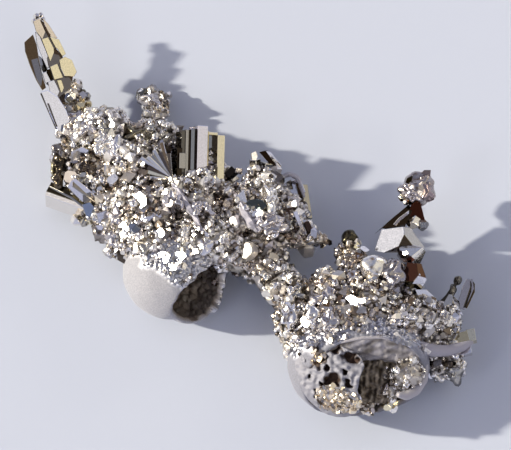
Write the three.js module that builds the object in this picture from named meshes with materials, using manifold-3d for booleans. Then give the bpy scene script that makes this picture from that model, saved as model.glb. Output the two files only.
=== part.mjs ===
// A palladium crystal specimen, grown from vapour: two hollow solidified droplets, joined by a
// lumpy crust from which single crystals, blades and stalks stand out. It is one piece of metal.
//
// Millimetres, +Z up. The specimen lies on the plane z = 0, its long side along X. It rests on
// the undersides of the two droplets and on one foot of the crust, behind them.

import * as THREE from 'three';
import { mergeVertices } from 'three/addons/utils/BufferGeometryUtils.js';
import Module from 'manifold-3d';

const wasm = await Module();
wasm.setup();

// ---------- driving dimensions ----------

const WALL = 0.15; // metal left around the hollow of a droplet
const RESTING_CUT = 0.03; // depth of the small flats on which the specimen rests
const MERGE_DISTANCE = 1e-4; // vertices of one form closer than this are one vertex
const SHORTEST_EDGE = 0.015; // detail smaller than this is taken out of the joined solid
const SEED = 46; // palladium's atomic number, for the scattered crystals
const CRYSTAL_SIZE = [0.18, 0.38]; // smallest and largest scattered crystal, edge length
const LOWEST_CRYSTAL = 0.35; // no scattered crystal stands lower than this above the ground

// Directions in which the broad faces of crystals look.
const UP = [0, 0, 1];
const FORWARD_UP = [0, -0.42, 0.91];
const LEFT_UP = [-0.6, -0.3, 0.75];
const RIGHT_UP = [0.45, -0.3, 0.84];

// Each droplet is one or two round bodies, hollow inside, and a mouth that opens into them.
const LEFT_DROPLET = {
  bodies: [
    { at: [-1.92, -1.4, 0.97], radii: [1.27, 1.25, 0.97] },
    { at: [-1.55, -1.75, 0.85], radii: [0.9, 0.95, 0.8] },
  ],
  mouth: { at: [-1.0, -2.3, 1.2], radii: [0.95, 0.85, 0.93] },
};
const RIGHT_DROPLET = {
  bodies: [{ at: [2.65, -3.95, 1.05], radii: [1.75, 1.45, 1.05] }],
  mouth: { at: [2.8, -4.75, 1.6], radii: [1.15, 1.1, 1.05] },
};

// Round masses of the crust: centre, half-axes, and how many small crystals stand on each.
const LUMPS = {
  backLeft: { at: [-3.75, 2.25, 1.15], radii: [0.75, 0.68, 0.58], crystals: 7 },
  farLeft: { at: [-4.62, 1.8, 0.75], radii: [0.33, 0.35, 0.35], crystals: 3 },
  spireRoot: { at: [-4.45, 2.6, 0.8], radii: [0.42, 0.5, 0.38], crystals: 4 },
  leftShoulder: { at: [-3.9, 1.2, 1.0], radii: [0.7, 0.7, 0.55], crystals: 5 },
  leftFlank: { at: [-3.45, 0.25, 1.0], radii: [0.55, 0.6, 0.5], crystals: 4 },
  upperLeft: { at: [-2.9, 1.2, 1.3], radii: [0.8, 0.8, 0.6], crystals: 5 },
  middle: { at: [-2.5, 0.0, 1.3], radii: [1.0, 0.8, 0.6], crystals: 7 },
  upperMiddle: { at: [-1.4, 0.25, 1.3], radii: [0.9, 0.85, 0.6], crystals: 7 },
  innerRight: { at: [-0.3, 0.05, 1.15], radii: [0.8, 0.75, 0.55], crystals: 6 },
  frontLeft: { at: [-3.0, -0.55, 1.15], radii: [0.6, 0.6, 0.5], crystals: 4 },
  frontMiddle: { at: [-2.2, -0.9, 1.5], radii: [0.8, 0.5, 0.42], crystals: 3 },
  frontEdge: { at: [-1.2, -0.85, 1.45], radii: [0.9, 0.5, 0.42], crystals: 3 },
  back: { at: [-2.5, 2.1, 1.1], radii: [0.75, 0.5, 0.52], crystals: 4 },
  underBlock: { at: [-1.5, 1.3, 1.05], radii: [0.75, 0.6, 0.5], crystals: 3 },
  foot: { at: [-0.95, 1.35, 0.4], radii: [0.45, 0.4, 0.43], crystals: 0 },
  ankle: { at: [-0.95, 0.95, 0.85], radii: [0.5, 0.5, 0.4], crystals: 1 },
  centre: { at: [0.6, 0.15, 0.95], radii: [0.75, 0.7, 0.5], crystals: 6 },
  centreTop: { at: [0.3, 0.85, 1.25], radii: [0.42, 0.42, 0.38], crystals: 3 },
  centreRight: { at: [1.2, -0.35, 0.9], radii: [0.45, 0.35, 0.32], crystals: 2 },
  centreFront: { at: [0.3, -0.75, 1.0], radii: [0.55, 0.45, 0.4], crystals: 3 },
  bridgeLeft: { at: [-0.3, -1.15, 1.15], radii: [0.5, 0.4, 0.36], crystals: 2 },
  bridgeMiddle: { at: [0.4, -1.5, 1.05], radii: [0.48, 0.4, 0.36], crystals: 2 },
  bridgeRight: { at: [0.95, -2.0, 1.0], radii: [0.48, 0.45, 0.4], crystals: 3 },
  innerFlank: { at: [1.15, -2.75, 1.0], radii: [0.5, 0.6, 0.5], crystals: 4 },
  outerFlank: { at: [1.35, -3.4, 0.9], radii: [0.45, 0.55, 0.5], crystals: 3 },
  rightBack: { at: [2.0, -2.1, 1.0], radii: [0.8, 0.62, 0.55], crystals: 5 },
  rightTop: { at: [2.95, -2.35, 1.2], radii: [0.85, 0.6, 0.6], crystals: 6 },
  rightCrown: { at: [2.3, -3.05, 1.6], radii: [0.95, 0.6, 0.45], crystals: 6 },
  rightBrow: { at: [3.45, -3.0, 1.4], radii: [0.7, 0.5, 0.42], crystals: 4 },
  rightShoulder: { at: [3.95, -2.7, 1.05], radii: [0.7, 0.55, 0.5], crystals: 5 },
  rightEnd: { at: [4.65, -2.8, 0.9], radii: [0.48, 0.5, 0.4], crystals: 5 },
  rightTail: { at: [4.6, -3.45, 0.8], radii: [0.5, 0.36, 0.3], crystals: 2 },
  stem: { at: [3.75, -1.85, 0.95], radii: [0.4, 0.45, 0.35], crystals: 2 },
  lobe: { at: [3.95, -4.25, 0.6], radii: [0.32, 0.36, 0.28], crystals: 0 },
  glassyLeft: { at: [3.05, -1.45, 1.3], radii: [0.32, 0.3, 0.3], crystals: 0 },
  glassyRight: { at: [3.55, -1.6, 1.2], radii: [0.28, 0.5, 0.42], crystals: 0 },
  knobStalk: { at: [-2.5, 2.85, 0.6], radii: [0.24, 0.35, 0.24], crystals: 2 },
  knobNeck: { at: [-2.4, 3.3, 0.44], radii: [0.24, 0.3, 0.22], crystals: 2 },
};

// The tall spire is one stepped crystal that leans back to the left. Its bars share one set of
// axes: `along` runs from the foot to the tip, `across` to the right, and `height` outwards.
// In the box that turnAlong makes, across is -X, height +Y and along +Z.
const SPIRE = { foot: [-4.53, 3.19, 0.75], tip: [-5.42, 5.27, 1.5], facing: [0.3, -0.35, 0.88] };
const SPIRE_BARS = {
  core: { along: [-0.4, 0.9], across: [-0.3, 0.22], height: [-0.35, 0.0] },
  rightCore: { along: [-0.4, 0.55], across: [0.08, 0.45], height: [-0.4, -0.08] },
  wideStep: { along: [0.75, 1.22], across: [0.1, 0.52], height: [-0.35, 0.02] },
  narrowStep: { along: [0.72, 1.2], across: [-0.16, 0.14], height: [-0.3, 0.1] },
  smallStep: { along: [0.4, 0.76], across: [-0.1, 0.08], height: [-0.2, 0.06] },
  ridge: { along: [1.1, 2.1], across: [-0.16, 0.1], height: [-0.28, 0.05] },
  rightStrip: { along: [1.15, 1.78], across: [0.05, 0.38], height: [-0.3, -0.08] },
  leftStrip: { along: [0.4, 1.2], across: [-0.36, -0.1], height: [-0.3, -0.03] },
  head: { along: [1.95, 2.38], across: [-0.14, 0.13], height: [-0.22, 0.0] },
  cap: { along: [2.25, 2.52], across: [-0.06, 0.12], height: [-0.16, 0.02] },
  lowerPlate: { along: [-0.45, 0.66], across: [-0.52, -0.1], height: [-0.26, -0.06] },
};
// The thin blade on the spire's left flank, with one corner cut off.
const BLADE = { along: [0.55, 2.05], across: [-0.5, -0.12], thickness: 0.1, corner: 0.24 };

// The bundle of parallel columns that leans back out of the crust.
const BLOCK = { foot: [-1.25, 0.9, 1.25], head: [-1.2, 2.2, 1.72], facing: [0, -0.35, 0.94] };
const BLOCK_COLUMNS = {
  outerLeft: { across: [-0.66, -0.5], rise: 0.6, thickness: 0.36 },
  left: { across: [-0.54, -0.2], rise: 0.92, thickness: 0.46 },
  middle: { across: [-0.22, 0.16], rise: 1.02, thickness: 0.58 },
  recess: { across: [0.12, 0.42], rise: 0.9, thickness: 0.4 },
  right: { across: [0.38, 0.62], rise: 0.86, thickness: 0.54 },
};

// ---------- small tools ----------

// A pseudo-random number between 0 and 1, the same sequence on every run.
let state = SEED;
function random() {
  state = (state + 0x6d2b79f5) | 0;
  let t = Math.imul(state ^ (state >>> 15), 1 | state);
  t = (t + Math.imul(t ^ (t >>> 7), 61 | t)) ^ t;
  return ((t ^ (t >>> 14)) >>> 0) / 4294967296;
}

function between(low, high) {
  return low + (high - low) * random();
}

// A closed three.js geometry as a solid.
function solid(geometry) {
  const bare = geometry.clone();
  bare.deleteAttribute('normal');
  bare.deleteAttribute('uv');
  const merged = mergeVertices(bare, MERGE_DISTANCE);
  return new wasm.Manifold(new wasm.Mesh({
    numProp: 3,
    vertProperties: merged.attributes.position.array,
    triVerts: new Uint32Array(merged.index.array),
  }));
}

function join(pieces) {
  let whole = pieces[0];
  for (const piece of pieces.slice(1)) {
    whole = whole.add(piece);
  }
  return whole;
}

// The turn that brings +Z to the line between two points, with +Y as near as it can to `facing`
// and +X to the left of a viewer whom that face looks at.
function turnAlong(from, to, facing) {
  const z = new THREE.Vector3(...to).sub(new THREE.Vector3(...from)).normalize();
  const x = new THREE.Vector3(...facing).cross(z).normalize();
  const y = z.clone().cross(x);
  return new THREE.Quaternion().setFromRotationMatrix(new THREE.Matrix4().makeBasis(x, y, z));
}

function placed(geometry, at, turn, scale = [1, 1, 1]) {
  const matrix = new THREE.Matrix4().compose(
    new THREE.Vector3(...at), turn, new THREE.Vector3(...scale));
  return solid(geometry.applyMatrix4(matrix));
}

function pointOn(from, to, share) {
  return from.map((low, axis) => low + (to[axis] - low) * share);
}

function turned(x, y, z) {
  return new THREE.Quaternion().setFromEuler(new THREE.Euler(x, y, z));
}

// ---------- crystal forms ----------

// A rectangular crystal whose long axis runs between two points; its broad face looks to `facing`.
function bar(from, to, width, thickness, facing = FORWARD_UP) {
  const length = new THREE.Vector3(...from).distanceTo(new THREE.Vector3(...to));
  const box = new THREE.BoxGeometry(width, thickness, length);
  return placed(box, pointOn(from, to, 0.5), turnAlong(from, to, facing));
}

// A four-sided pyramid whose point is at the far end.
function spike(from, to, width, thickness, facing = FORWARD_UP) {
  const length = new THREE.Vector3(...from).distanceTo(new THREE.Vector3(...to));
  const cone = new THREE.ConeGeometry(Math.SQRT1_2, 1, 4);
  cone.rotateY(Math.PI / 4);
  cone.rotateX(Math.PI / 2);
  const turn = turnAlong(from, to, facing);
  return placed(cone, pointOn(from, to, 0.5), turn, [width, thickness, length]);
}

function octahedron(at, radius, turn) {
  return placed(new THREE.OctahedronGeometry(radius), at, turn);
}

// A cube whose corners are cut by an octahedron: the crystal's cube and octahedron faces together.
function cutCube(at, edge, reach, turn) {
  const cube = placed(new THREE.BoxGeometry(edge, edge, edge), at, turn);
  return cube.intersect(octahedron(at, reach, turn));
}

function ellipsoid({ at, radii }) {
  return placed(new THREE.IcosahedronGeometry(1, 1), at, new THREE.Quaternion(), radii);
}

function roundShell({ at, radii }, columns, rows) {
  const sphere = new THREE.SphereGeometry(1, columns, rows);
  sphere.rotateX(Math.PI / 2);
  return placed(sphere, at, new THREE.Quaternion(), radii);
}

// ---------- the specimen's parts ----------

// The smooth outer form of a solidified droplet.
function droplet({ bodies }) {
  return join(bodies.map((body) => roundShell(body, 20, 12)));
}

// What is empty in a droplet: its inside, and the mouth that opens into it.
function hollow({ bodies, mouth }) {
  const insides = bodies.map(({ at, radii }) => (
    roundShell({ at, radii: radii.map((radius) => radius - WALL) }, 12, 8)));
  return join([...insides, roundShell(mouth, 12, 8)]);
}

function isInside(point, { at, radii }) {
  const share = point.map((value, axis) => (value - at[axis]) / radii[axis]);
  return Math.hypot(...share) < 1;
}

// Small rectangular crystals and octahedra, half sunk in the surface of the lumps at random.
function scatteredCrystals() {
  const crystals = [];
  const hosts = Object.values(LUMPS);
  for (const host of hosts) {
    let left = host.crystals;
    while (left > 0) {
      const height = between(-0.5, 1);
      const angle = between(0, 2 * Math.PI);
      const across = Math.sqrt(1 - height * height);
      const outward = [across * Math.cos(angle), across * Math.sin(angle), height];
      const at = outward.map((share, axis) => host.at[axis] + share * host.radii[axis]);
      const buried = hosts.some((other) => other !== host && isInside(at, other));
      if (buried || at[2] < LOWEST_CRYSTAL) {
        continue;
      }
      left -= 1;
      const size = between(...CRYSTAL_SIZE);
      const turn = turned(between(0, 3), between(0, 3), between(0, 3));
      if (random() < 0.7) {
        const box = new THREE.BoxGeometry(size, size * between(0.6, 1), size * between(0.6, 1.4));
        crystals.push(placed(box, at, turn));
      } else {
        crystals.push(octahedron(at, size * 0.65, turn));
      }
    }
  }
  return crystals;
}

function spire() {
  const { foot, tip, facing } = SPIRE;
  const turn = turnAlong(foot, tip, facing);
  const inPlace = (geometry) => placed(geometry, foot, turn);
  const bars = Object.values(SPIRE_BARS).map(({ along, across, height }) => {
    const box = new THREE.BoxGeometry(
      across[1] - across[0], height[1] - height[0], along[1] - along[0]);
    box.translate(
      -(across[0] + across[1]) / 2, (height[0] + height[1]) / 2, (along[0] + along[1]) / 2);
    return inPlace(box);
  });
  const { along, across, thickness, corner } = BLADE;
  const outline = new THREE.Shape([
    new THREE.Vector2(-across[1], along[0]),
    new THREE.Vector2(-across[1], along[1]),
    new THREE.Vector2(-across[0] - corner, along[1]),
    new THREE.Vector2(-across[0], along[1] - corner),
    new THREE.Vector2(-across[0], along[0]),
  ]);
  const blade = new THREE.ExtrudeGeometry(outline, { depth: thickness, bevelEnabled: false });
  blade.rotateX(Math.PI / 2);
  blade.translate(0, -thickness, 0);
  return [...bars, inPlace(blade)];
}

function block() {
  const { foot, head, facing } = BLOCK;
  return Object.values(BLOCK_COLUMNS).map(({ across, rise, thickness }) => {
    const middle = (across[0] + across[1]) / 2;
    const top = pointOn(foot, head, rise);
    const from = [foot[0] + middle, foot[1], foot[2]];
    const to = [top[0] + middle, top[1], top[2]];
    return bar(from, to, across[1] - across[0], thickness, facing);
  });
}

function leftCrystals() {
  return [
    bar([-4.95, 1.05, 0.62], [-3.7, 0.3, 0.85], 0.62, 0.5, FORWARD_UP),
    octahedron([-4.3, 1.75, 1.05], 0.4, turned(0.5, 0.2, 0.4)),
    cutCube([-3.78, 0.2, 1.0], 0.45, 0.36, turned(0.3, 0.1, 0.5)),
    cutCube([-4.25, 0.28, 0.8], 0.26, 0.22, turned(0.2, 0.7, 0.1)),
    bar([-2.6, 1.15, 1.6], [-1.95, 1.45, 1.85], 0.3, 0.2, RIGHT_UP),
    bar([-2.5, 1.35, 1.65], [-2.1, 1.85, 1.9], 0.22, 0.2, RIGHT_UP),
    bar([-2.5, 0.9, 1.7], [-1.9, 1.0, 1.95], 0.2, 0.16, LEFT_UP),
  ];
}

// A ball of crystals on a stalk that leans out behind the crust.
function knob() {
  return [
    cutCube([-2.7, 3.74, 0.35], 0.42, 0.34, turned(0.3, 0.4, 0.2)),
    bar([-2.4, 3.3, 0.45], [-2.7, 3.7, 0.38], 0.24, 0.22, FORWARD_UP),
    cutCube([-2.3, 3.48, 0.42], 0.34, 0.28, turned(0.7, 0.1, 0.4)),
  ];
}

function centreCrystals() {
  return [
    bar([0.15, 1.0, 1.2], [0.12, 1.45, 1.6], 0.22, 0.2, LEFT_UP),
    bar([0.35, 0.95, 1.2], [0.5, 1.45, 1.5], 0.4, 0.32, RIGHT_UP),
    bar([0.7, 0.75, 0.95], [1.35, 1.05, 0.95], 0.4, 0.3, RIGHT_UP),
    bar([1.3, 1.1, 0.9], [1.4, 0.1, 0.8], 0.24, 0.3, RIGHT_UP),
    bar([-0.62, 1.05, 1.2], [-0.3, 1.3, 1.25], 0.24, 0.24, LEFT_UP),
    spike([1.15, -0.4, 0.9], [2.0, -0.6, 0.88], 0.4, 0.34, UP),
    bar([-0.25, 0.5, 1.5], [0.25, -0.1, 1.62], 0.3, 0.22, FORWARD_UP),
  ];
}

// The right half's large forms: a cut cube, a dark octahedron, and the stalk with its ball on top.
function rightCrystals() {
  return [
    cutCube([3.75, -0.78, 1.12], 0.92, 0.84, turned(0.35, -0.35, 0.5)),
    octahedron([4.05, -1.55, 1.05], 0.56, turned(0.4, 0.3, 0.2)),
    bar([3.2, -0.38, 1.02], [4.0, 0.25, 1.25], 0.3, 0.34, FORWARD_UP),
    cutCube([4.1, 0.08, 1.22], 0.46, 0.4, turned(0.2, 0.4, 0.3)),
    cutCube([4.15, 0.65, 1.35], 0.72, 0.56, turned(0.5, 0.2, 0.7)),
    octahedron([4.35, 0.9, 1.42], 0.3, turned(0.1, 0.3, 0.6)),
    cutCube([3.9, 0.5, 1.32], 0.3, 0.24, turned(0.6, 0.1, 0.2)),
    bar([4.0, -2.35, 1.0], [4.5, -2.0, 1.1], 0.3, 0.2, UP),
    bar([2.55, -1.9, 0.95], [2.48, -0.6, 0.9], 0.32, 0.3, FORWARD_UP),
    cutCube([2.47, -0.48, 0.9], 0.44, 0.42, turned(0.5, 0.6, 0.2)),
    octahedron([5.0, -2.3, 0.88], 0.28, turned(0.2, 0.5, 0.4)),
    bar([4.95, -2.55, 0.8], [5.4, -1.65, 0.95], 0.36, 0.1, RIGHT_UP),
    bar([4.7, -3.35, 0.82], [5.6, -3.15, 0.9], 0.34, 0.16, UP),
    bar([5.45, -3.3, 0.88], [5.6, -2.85, 0.92], 0.22, 0.2, UP),
    bar([4.6, -3.6, 0.78], [5.45, -3.5, 0.82], 0.22, 0.16, UP),
    spike([4.3, -3.7, 0.68], [5.25, -3.8, 0.66], 0.3, 0.22, UP),
    spike([4.3, -3.8, 0.66], [4.78, -4.2, 0.56], 0.3, 0.24, UP),
  ];
}

// Crystals that grow inside the mouth of the right droplet and hang over its lower edge.
function mouthCrystals() {
  return [
    bar([3.0, -3.75, 0.4], [3.2, -4.25, 1.0], 0.3, 0.16, RIGHT_UP),
    bar([2.75, -3.8, 0.35], [2.65, -4.4, 1.0], 0.3, 0.18, LEFT_UP),
    bar([2.9, -4.5, 0.3], [3.1, -5.15, 0.6], 0.24, 0.2, FORWARD_UP),
    cutCube([3.5, -4.75, 0.5], 0.34, 0.27, turned(0.3, 0.5, 0.2)),
    cutCube([2.4, -4.75, 0.5], 0.36, 0.3, turned(0.6, 0.2, 0.5)),
    cutCube([2.0, -4.5, 0.6], 0.3, 0.25, turned(0.1, 0.4, 0.8)),
  ];
}

// The solid with the flats it rests on: everything below them is cut off.
function restingOnGround(whole) {
  const { min, max } = whole.boundingBox();
  const margin = 1;
  const size = [max[0] - min[0] + margin, max[1] - min[1] + margin, margin];
  const at = [(max[0] + min[0]) / 2, (max[1] + min[1]) / 2, RESTING_CUT - margin / 2];
  const below = placed(new THREE.BoxGeometry(...size), at, new THREE.Quaternion());
  return whole.subtract(below).translate([0, 0, -RESTING_CUT]);
}

// Only the one connected body stays: a crystal that touches nothing is no part of the specimen.
function largestBody(whole) {
  return whole.decompose().sort((a, b) => b.volume() - a.volume())[0];
}

function specimen() {
  const lumps = Object.values(LUMPS).map(ellipsoid);
  const shells = [droplet(LEFT_DROPLET), droplet(RIGHT_DROPLET)];
  const crust = join([...shells, ...lumps, ...scatteredCrystals()]);
  const open = crust.subtract(hollow(LEFT_DROPLET)).subtract(hollow(RIGHT_DROPLET));
  const crystals = [
    ...spire(),
    ...block(),
    ...leftCrystals(),
    ...knob(),
    ...centreCrystals(),
    ...rightCrystals(),
    ...mouthCrystals(),
  ];
  const whole = join([open, ...crystals]).asOriginal().simplify(SHORTEST_EDGE);
  return largestBody(restingOnGround(whole));
}

function meshOf(name, body, material) {
  const { vertProperties, triVerts } = body.getMesh();
  const geometry = new THREE.BufferGeometry();
  geometry.setAttribute('position', new THREE.BufferAttribute(vertProperties, 3));
  geometry.setIndex(new THREE.BufferAttribute(triVerts, 1));
  const flat = geometry.toNonIndexed();
  flat.computeVertexNormals();
  const mesh = new THREE.Mesh(flat, material);
  mesh.name = name;
  return mesh;
}

const palladium = new THREE.MeshStandardMaterial({
  color: 0xd2cfc9,
  roughness: 0.18,
  metalness: 1,
  flatShading: true,
});

const group = new THREE.Group();
group.add(meshOf('palladium_crystal', specimen(), palladium));

export default group;
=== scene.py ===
# %% [markdown]
# # A palladium crystal specimen
#
# Palladium vapour has settled as two hollow metal droplets with a sparkling crust between them,
# from which single crystals, blades and stalks stand out. It is one piece of metal, about 15 mm
# from end to end. It could be sculpted by hand, but a sculpture can't be measured or repeated.
# So each shape here is a formula: a profile carried along a line, or a ball worked out from two
# parameters.
#
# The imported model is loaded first. It is the frame: every piece below rides on its one body and
# stays close to its box.

# %% The frame
import itertools
import math

import bmesh
import bpy
import numpy as np
from mathutils import Matrix, Vector


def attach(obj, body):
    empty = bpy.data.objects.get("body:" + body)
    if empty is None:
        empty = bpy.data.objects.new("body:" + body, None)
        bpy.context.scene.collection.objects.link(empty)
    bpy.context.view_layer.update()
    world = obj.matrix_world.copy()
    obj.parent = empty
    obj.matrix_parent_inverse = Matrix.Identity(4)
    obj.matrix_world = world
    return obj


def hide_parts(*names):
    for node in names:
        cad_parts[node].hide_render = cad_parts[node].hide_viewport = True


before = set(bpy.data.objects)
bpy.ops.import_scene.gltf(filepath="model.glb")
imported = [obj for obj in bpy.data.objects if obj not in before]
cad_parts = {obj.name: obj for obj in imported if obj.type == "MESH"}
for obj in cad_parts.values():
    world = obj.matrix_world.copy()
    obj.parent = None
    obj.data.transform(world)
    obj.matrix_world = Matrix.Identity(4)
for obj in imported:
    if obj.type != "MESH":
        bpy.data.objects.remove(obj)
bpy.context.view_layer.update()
BODY = "root"
NODE = "palladium_crystal"
MM = 0.001
SEED = 46
draw = np.random.default_rng(SEED)

# %% [markdown]
# ## Camera
#
# The specimen is seen from 65 degrees above the table, from far away for its size, as a macro
# lens sees it. A short lens close by would enlarge the near end; a long one keeps both ends at
# nearly the same scale, so that places can be read off the view in millimetres.

# %% Camera
ELEVATION = math.radians(65)
VIEW_WIDTH, MM_PER_PIXEL = 511, 0.025  # pixels across the view, and their size on the specimen
LENS, SENSOR = 300.0, 36.0  # mm
TOWARDS_CAMERA = np.array([0.0, -math.cos(ELEVATION), math.sin(ELEVATION)])
camera_target = np.array([0.1125, -0.152, 1.0])  # mm, what the middle of the view shows
camera_distance = VIEW_WIDTH * LENS / SENSOR * MM_PER_PIXEL

camera_data = bpy.data.cameras.new("camera")
camera_data.lens, camera_data.sensor_width = LENS, SENSOR
camera_data.clip_start, camera_data.clip_end = 0.001, 10.0
camera = bpy.data.objects.new("camera", camera_data)
camera.location = (camera_target + TOWARDS_CAMERA * camera_distance) * MM
camera.rotation_euler = (math.pi / 2 - ELEVATION, 0.0, 0.0)
bpy.context.collection.objects.link(camera)
bpy.context.scene.camera = camera
print("camera at mm:", np.round(np.array(camera.location) / MM, 2).tolist())

# %% [markdown]
# ## Colours and nodes
#
# Colours are written as hex values, as a paint program shows them. The shaders work with linear
# light, so one function turns one into the other. Nodes could be placed by hand in the editor;
# a few small functions that add and link them make every material readable as text.


# %% Colour and node helpers
def linear(code):
    """Hex sRGB to linear RGB: below 0.04045 divide by 12.92, above it ((c+0.055)/1.055)^2.4."""
    share = np.array([int(code[i : i + 2], 16) for i in (0, 2, 4)]) / 255
    return np.where(share < 0.04045, share / 12.92, ((share + 0.055) / 1.055) ** 2.4)


def rgba(code):
    return (*linear(code), 1.0)


def node(tree, kind, settings=None, **inputs):
    """Adds one node. settings are its properties; inputs are values or other nodes' outputs,
    by socket name with _ for a space, or by in0, in1 for a socket's number."""
    new = tree.nodes.new(kind)
    for key, value in (settings or {}).items():
        setattr(new, key, value)
    for key, value in inputs.items():
        place = int(key[2:]) if key[:2] == "in" and key[2:].isdigit() else key.replace("_", " ")
        socket = new.inputs[place]
        if isinstance(value, bpy.types.NodeSocket):
            tree.links.new(value, socket)
        else:
            socket.default_value = value
    return new


def ramp(tree, value, start, end, low=0.0, high=1.0, curve="LINEAR"):
    """low where the value is at the start, high where it is at the end."""
    return node(tree, "ShaderNodeMapRange", {"interpolation_type": curve}, Value=value,
                From_Min=start, From_Max=end, To_Min=low, To_Max=high).outputs[0]


def mix(tree, share, first, second, blend="MIX"):
    """The first colour where the share is 0, the second or their product where it is 1."""
    settings = {"data_type": "RGBA", "blend_type": blend}
    return node(tree, "ShaderNodeMix", settings, in0=share, in6=first, in7=second).outputs[2]


print("hex 808080 in linear light:", np.round(linear("808080"), 3).tolist())

# %% [markdown]
# ## Floor
#
# The specimen lies on plain pale paper. A flat matt sheet is enough: metal shows mostly what it
# mirrors, and an even floor gives its lower faces an even light. The floor is staged, so it
# isn't part of the object.

# %% Floor
FLOOR_HALF = 60.0  # mm from the middle to each edge
PAPER, PAPER_ROUGHNESS, PAPER_SHINE = "bbc0d0", 0.9, 0.2
square = np.array([(-1, -1, 0), (1, -1, 0), (1, 1, 0), (-1, 1, 0)])
floor_mesh = bpy.data.meshes.new("floor")
floor_mesh.from_pydata((square * FLOOR_HALF * MM).tolist(), [], [(0, 1, 2, 3)])
floor = bpy.data.objects.new("floor", floor_mesh)
bpy.context.collection.objects.link(floor)
paper = bpy.data.materials.new("matt_paper")
paper.use_nodes = True
paper_shader = paper.node_tree.nodes["Principled BSDF"]
paper_shader.inputs["Base Color"].default_value = rgba(PAPER)
paper_shader.inputs["Roughness"].default_value = PAPER_ROUGHNESS
paper_shader.inputs["Specular IOR Level"].default_value = PAPER_SHINE
floor_mesh.materials.append(paper)
print("floor:", 2 * FLOOR_HALF, "mm across")

# %% [markdown]
# ## Sun
#
# The shadow is long, blue-grey and nearly sharp, so the light is one low, slightly warm sun from
# the left. An area lamp would soften the shadow's edge and change with distance; a sun doesn't.

# %% Sun
SUN_DIRECTION = np.array([-0.906, 0.034, 0.421])
SUN_STRENGTH, SUN_COLOUR, SUN_WIDTH = 5.8, (1.0, 0.94, 0.77), math.radians(2.0)
sun_data = bpy.data.lights.new("sun", "SUN")
sun_data.energy, sun_data.color, sun_data.angle = SUN_STRENGTH, SUN_COLOUR, SUN_WIDTH
sun = bpy.data.objects.new("sun", sun_data)
bpy.context.collection.objects.link(sun)
sun.rotation_mode = "QUATERNION"
sun.rotation_quaternion = Vector(-SUN_DIRECTION).to_track_quat("-Z", "Y")
print("sun stands", round(math.degrees(math.asin(SUN_DIRECTION[2]))), "degrees high")

# %% [markdown]
# ## Sky
#
# A mirror face is as bright as the part of the sky that it mirrors. One even sky would make
# dull grey metal. So the studio is pale near the horizon and greyer overhead, with a dark patch
# where the viewer stands, which gives the blacks, warm patches for the golden faces, and three
# small bright ones for the glints. Patches blended into the world need no lamps.

# %% Sky
HORIZON, ZENITH = "ced3ed", "959cb5"
HORIZON_END, ZENITH_START = 0.05, 0.75  # heights of the view direction
SKY_PATCHES = (
    # direction, cosine where the patch begins, cosine where it is full, colour, strength
    ((0.0, -0.42, 0.907), 0.93, 0.985, "6a5d52", 1.0),
    ((0.575, -0.25, 0.78), 0.93, 0.985, "f4eee0", 1.0),
    ((0.75, 0.35, 0.56), 0.90, 0.98, "e6dfd0", 1.0),
    ((-0.2, 0.75, 0.63), 0.93, 0.985, "6e5a4c", 1.0),
    ((-0.906, 0.034, 0.421), 0.80, 0.97, "fff6ea", 1.15),
    ((-0.62, -0.55, 0.56), 0.993, 0.996, "ffffff", 9.0),
    ((0.35, -0.75, 0.56), 0.994, 0.997, "fff6e0", 9.0),
    ((0.55, 0.70, 0.45), 0.994, 0.997, "fff6e0", 9.0),
)
world = bpy.data.worlds.new("studio")
bpy.context.scene.world = world
world.use_nodes = True
sky = world.node_tree
sky.nodes.clear()
direction = node(sky, "ShaderNodeTexCoord").outputs["Generated"]
height = node(sky, "ShaderNodeSeparateXYZ", Vector=direction).outputs["Z"]
share = ramp(sky, height, HORIZON_END, ZENITH_START)
colour = mix(sky, share, rgba(HORIZON), rgba(ZENITH))
for aim, start, full, code, gain in SKY_PATCHES:
    aim = tuple(np.array(aim) / np.linalg.norm(aim))
    closeness = node(sky, "ShaderNodeVectorMath", {"operation": "DOT_PRODUCT"},
                     in0=direction, in1=aim).outputs["Value"]
    patch = ramp(sky, closeness, start, full, curve="SMOOTHSTEP")
    colour = mix(sky, patch, colour, (*linear(code) * gain, 1.0))
background = node(sky, "ShaderNodeBackground", Color=colour, Strength=1.0)
node(sky, "ShaderNodeOutputWorld", Surface=background.outputs[0])
bpy.context.scene.view_settings.view_transform = "Standard"
print("sky patches:", len(SKY_PATCHES))

# %% [markdown]
# ## Finishes
#
# All the metal is palladium, in six finishes that differ in how smooth it grew or froze. One
# metal shader makes them all, so they stay one metal: noise mottles the colour, drives a fine
# bump and spreads the roughness. Painted textures would need maps; noise in Object coordinates
# needs none and has a real size. Each crystal's tone is stored on its faces; on named crystals
# it is partly a painted reflection of what each face mirrors.

# %% Finishes
CRYSTAL_TONE, CRYSTAL_GLOSS = "tone", "rough"  # attributes: a colour, and a share of roughness
GROWTH_STEP = 0.03  # mm between the growth lines on a crystal face
GRAIN_SIZE = 0.12  # mm across a grain, so that each one gets its own share of roughness
SKIN_GRAIN = 0.035  # mm, drawn coarser than the real 0.01 mm so that it shows
SPONGE_CELL = 0.09  # mm across a cell of the spongy metal
NOISE_LOW, NOISE_HIGH = 0.3, 0.7  # the noise seldom leaves this band
MOTTLE = 0.82  # the tone's darkest share
BUMP_SHARE = 0.2  # height of the bumps, as a share of the grain


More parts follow.
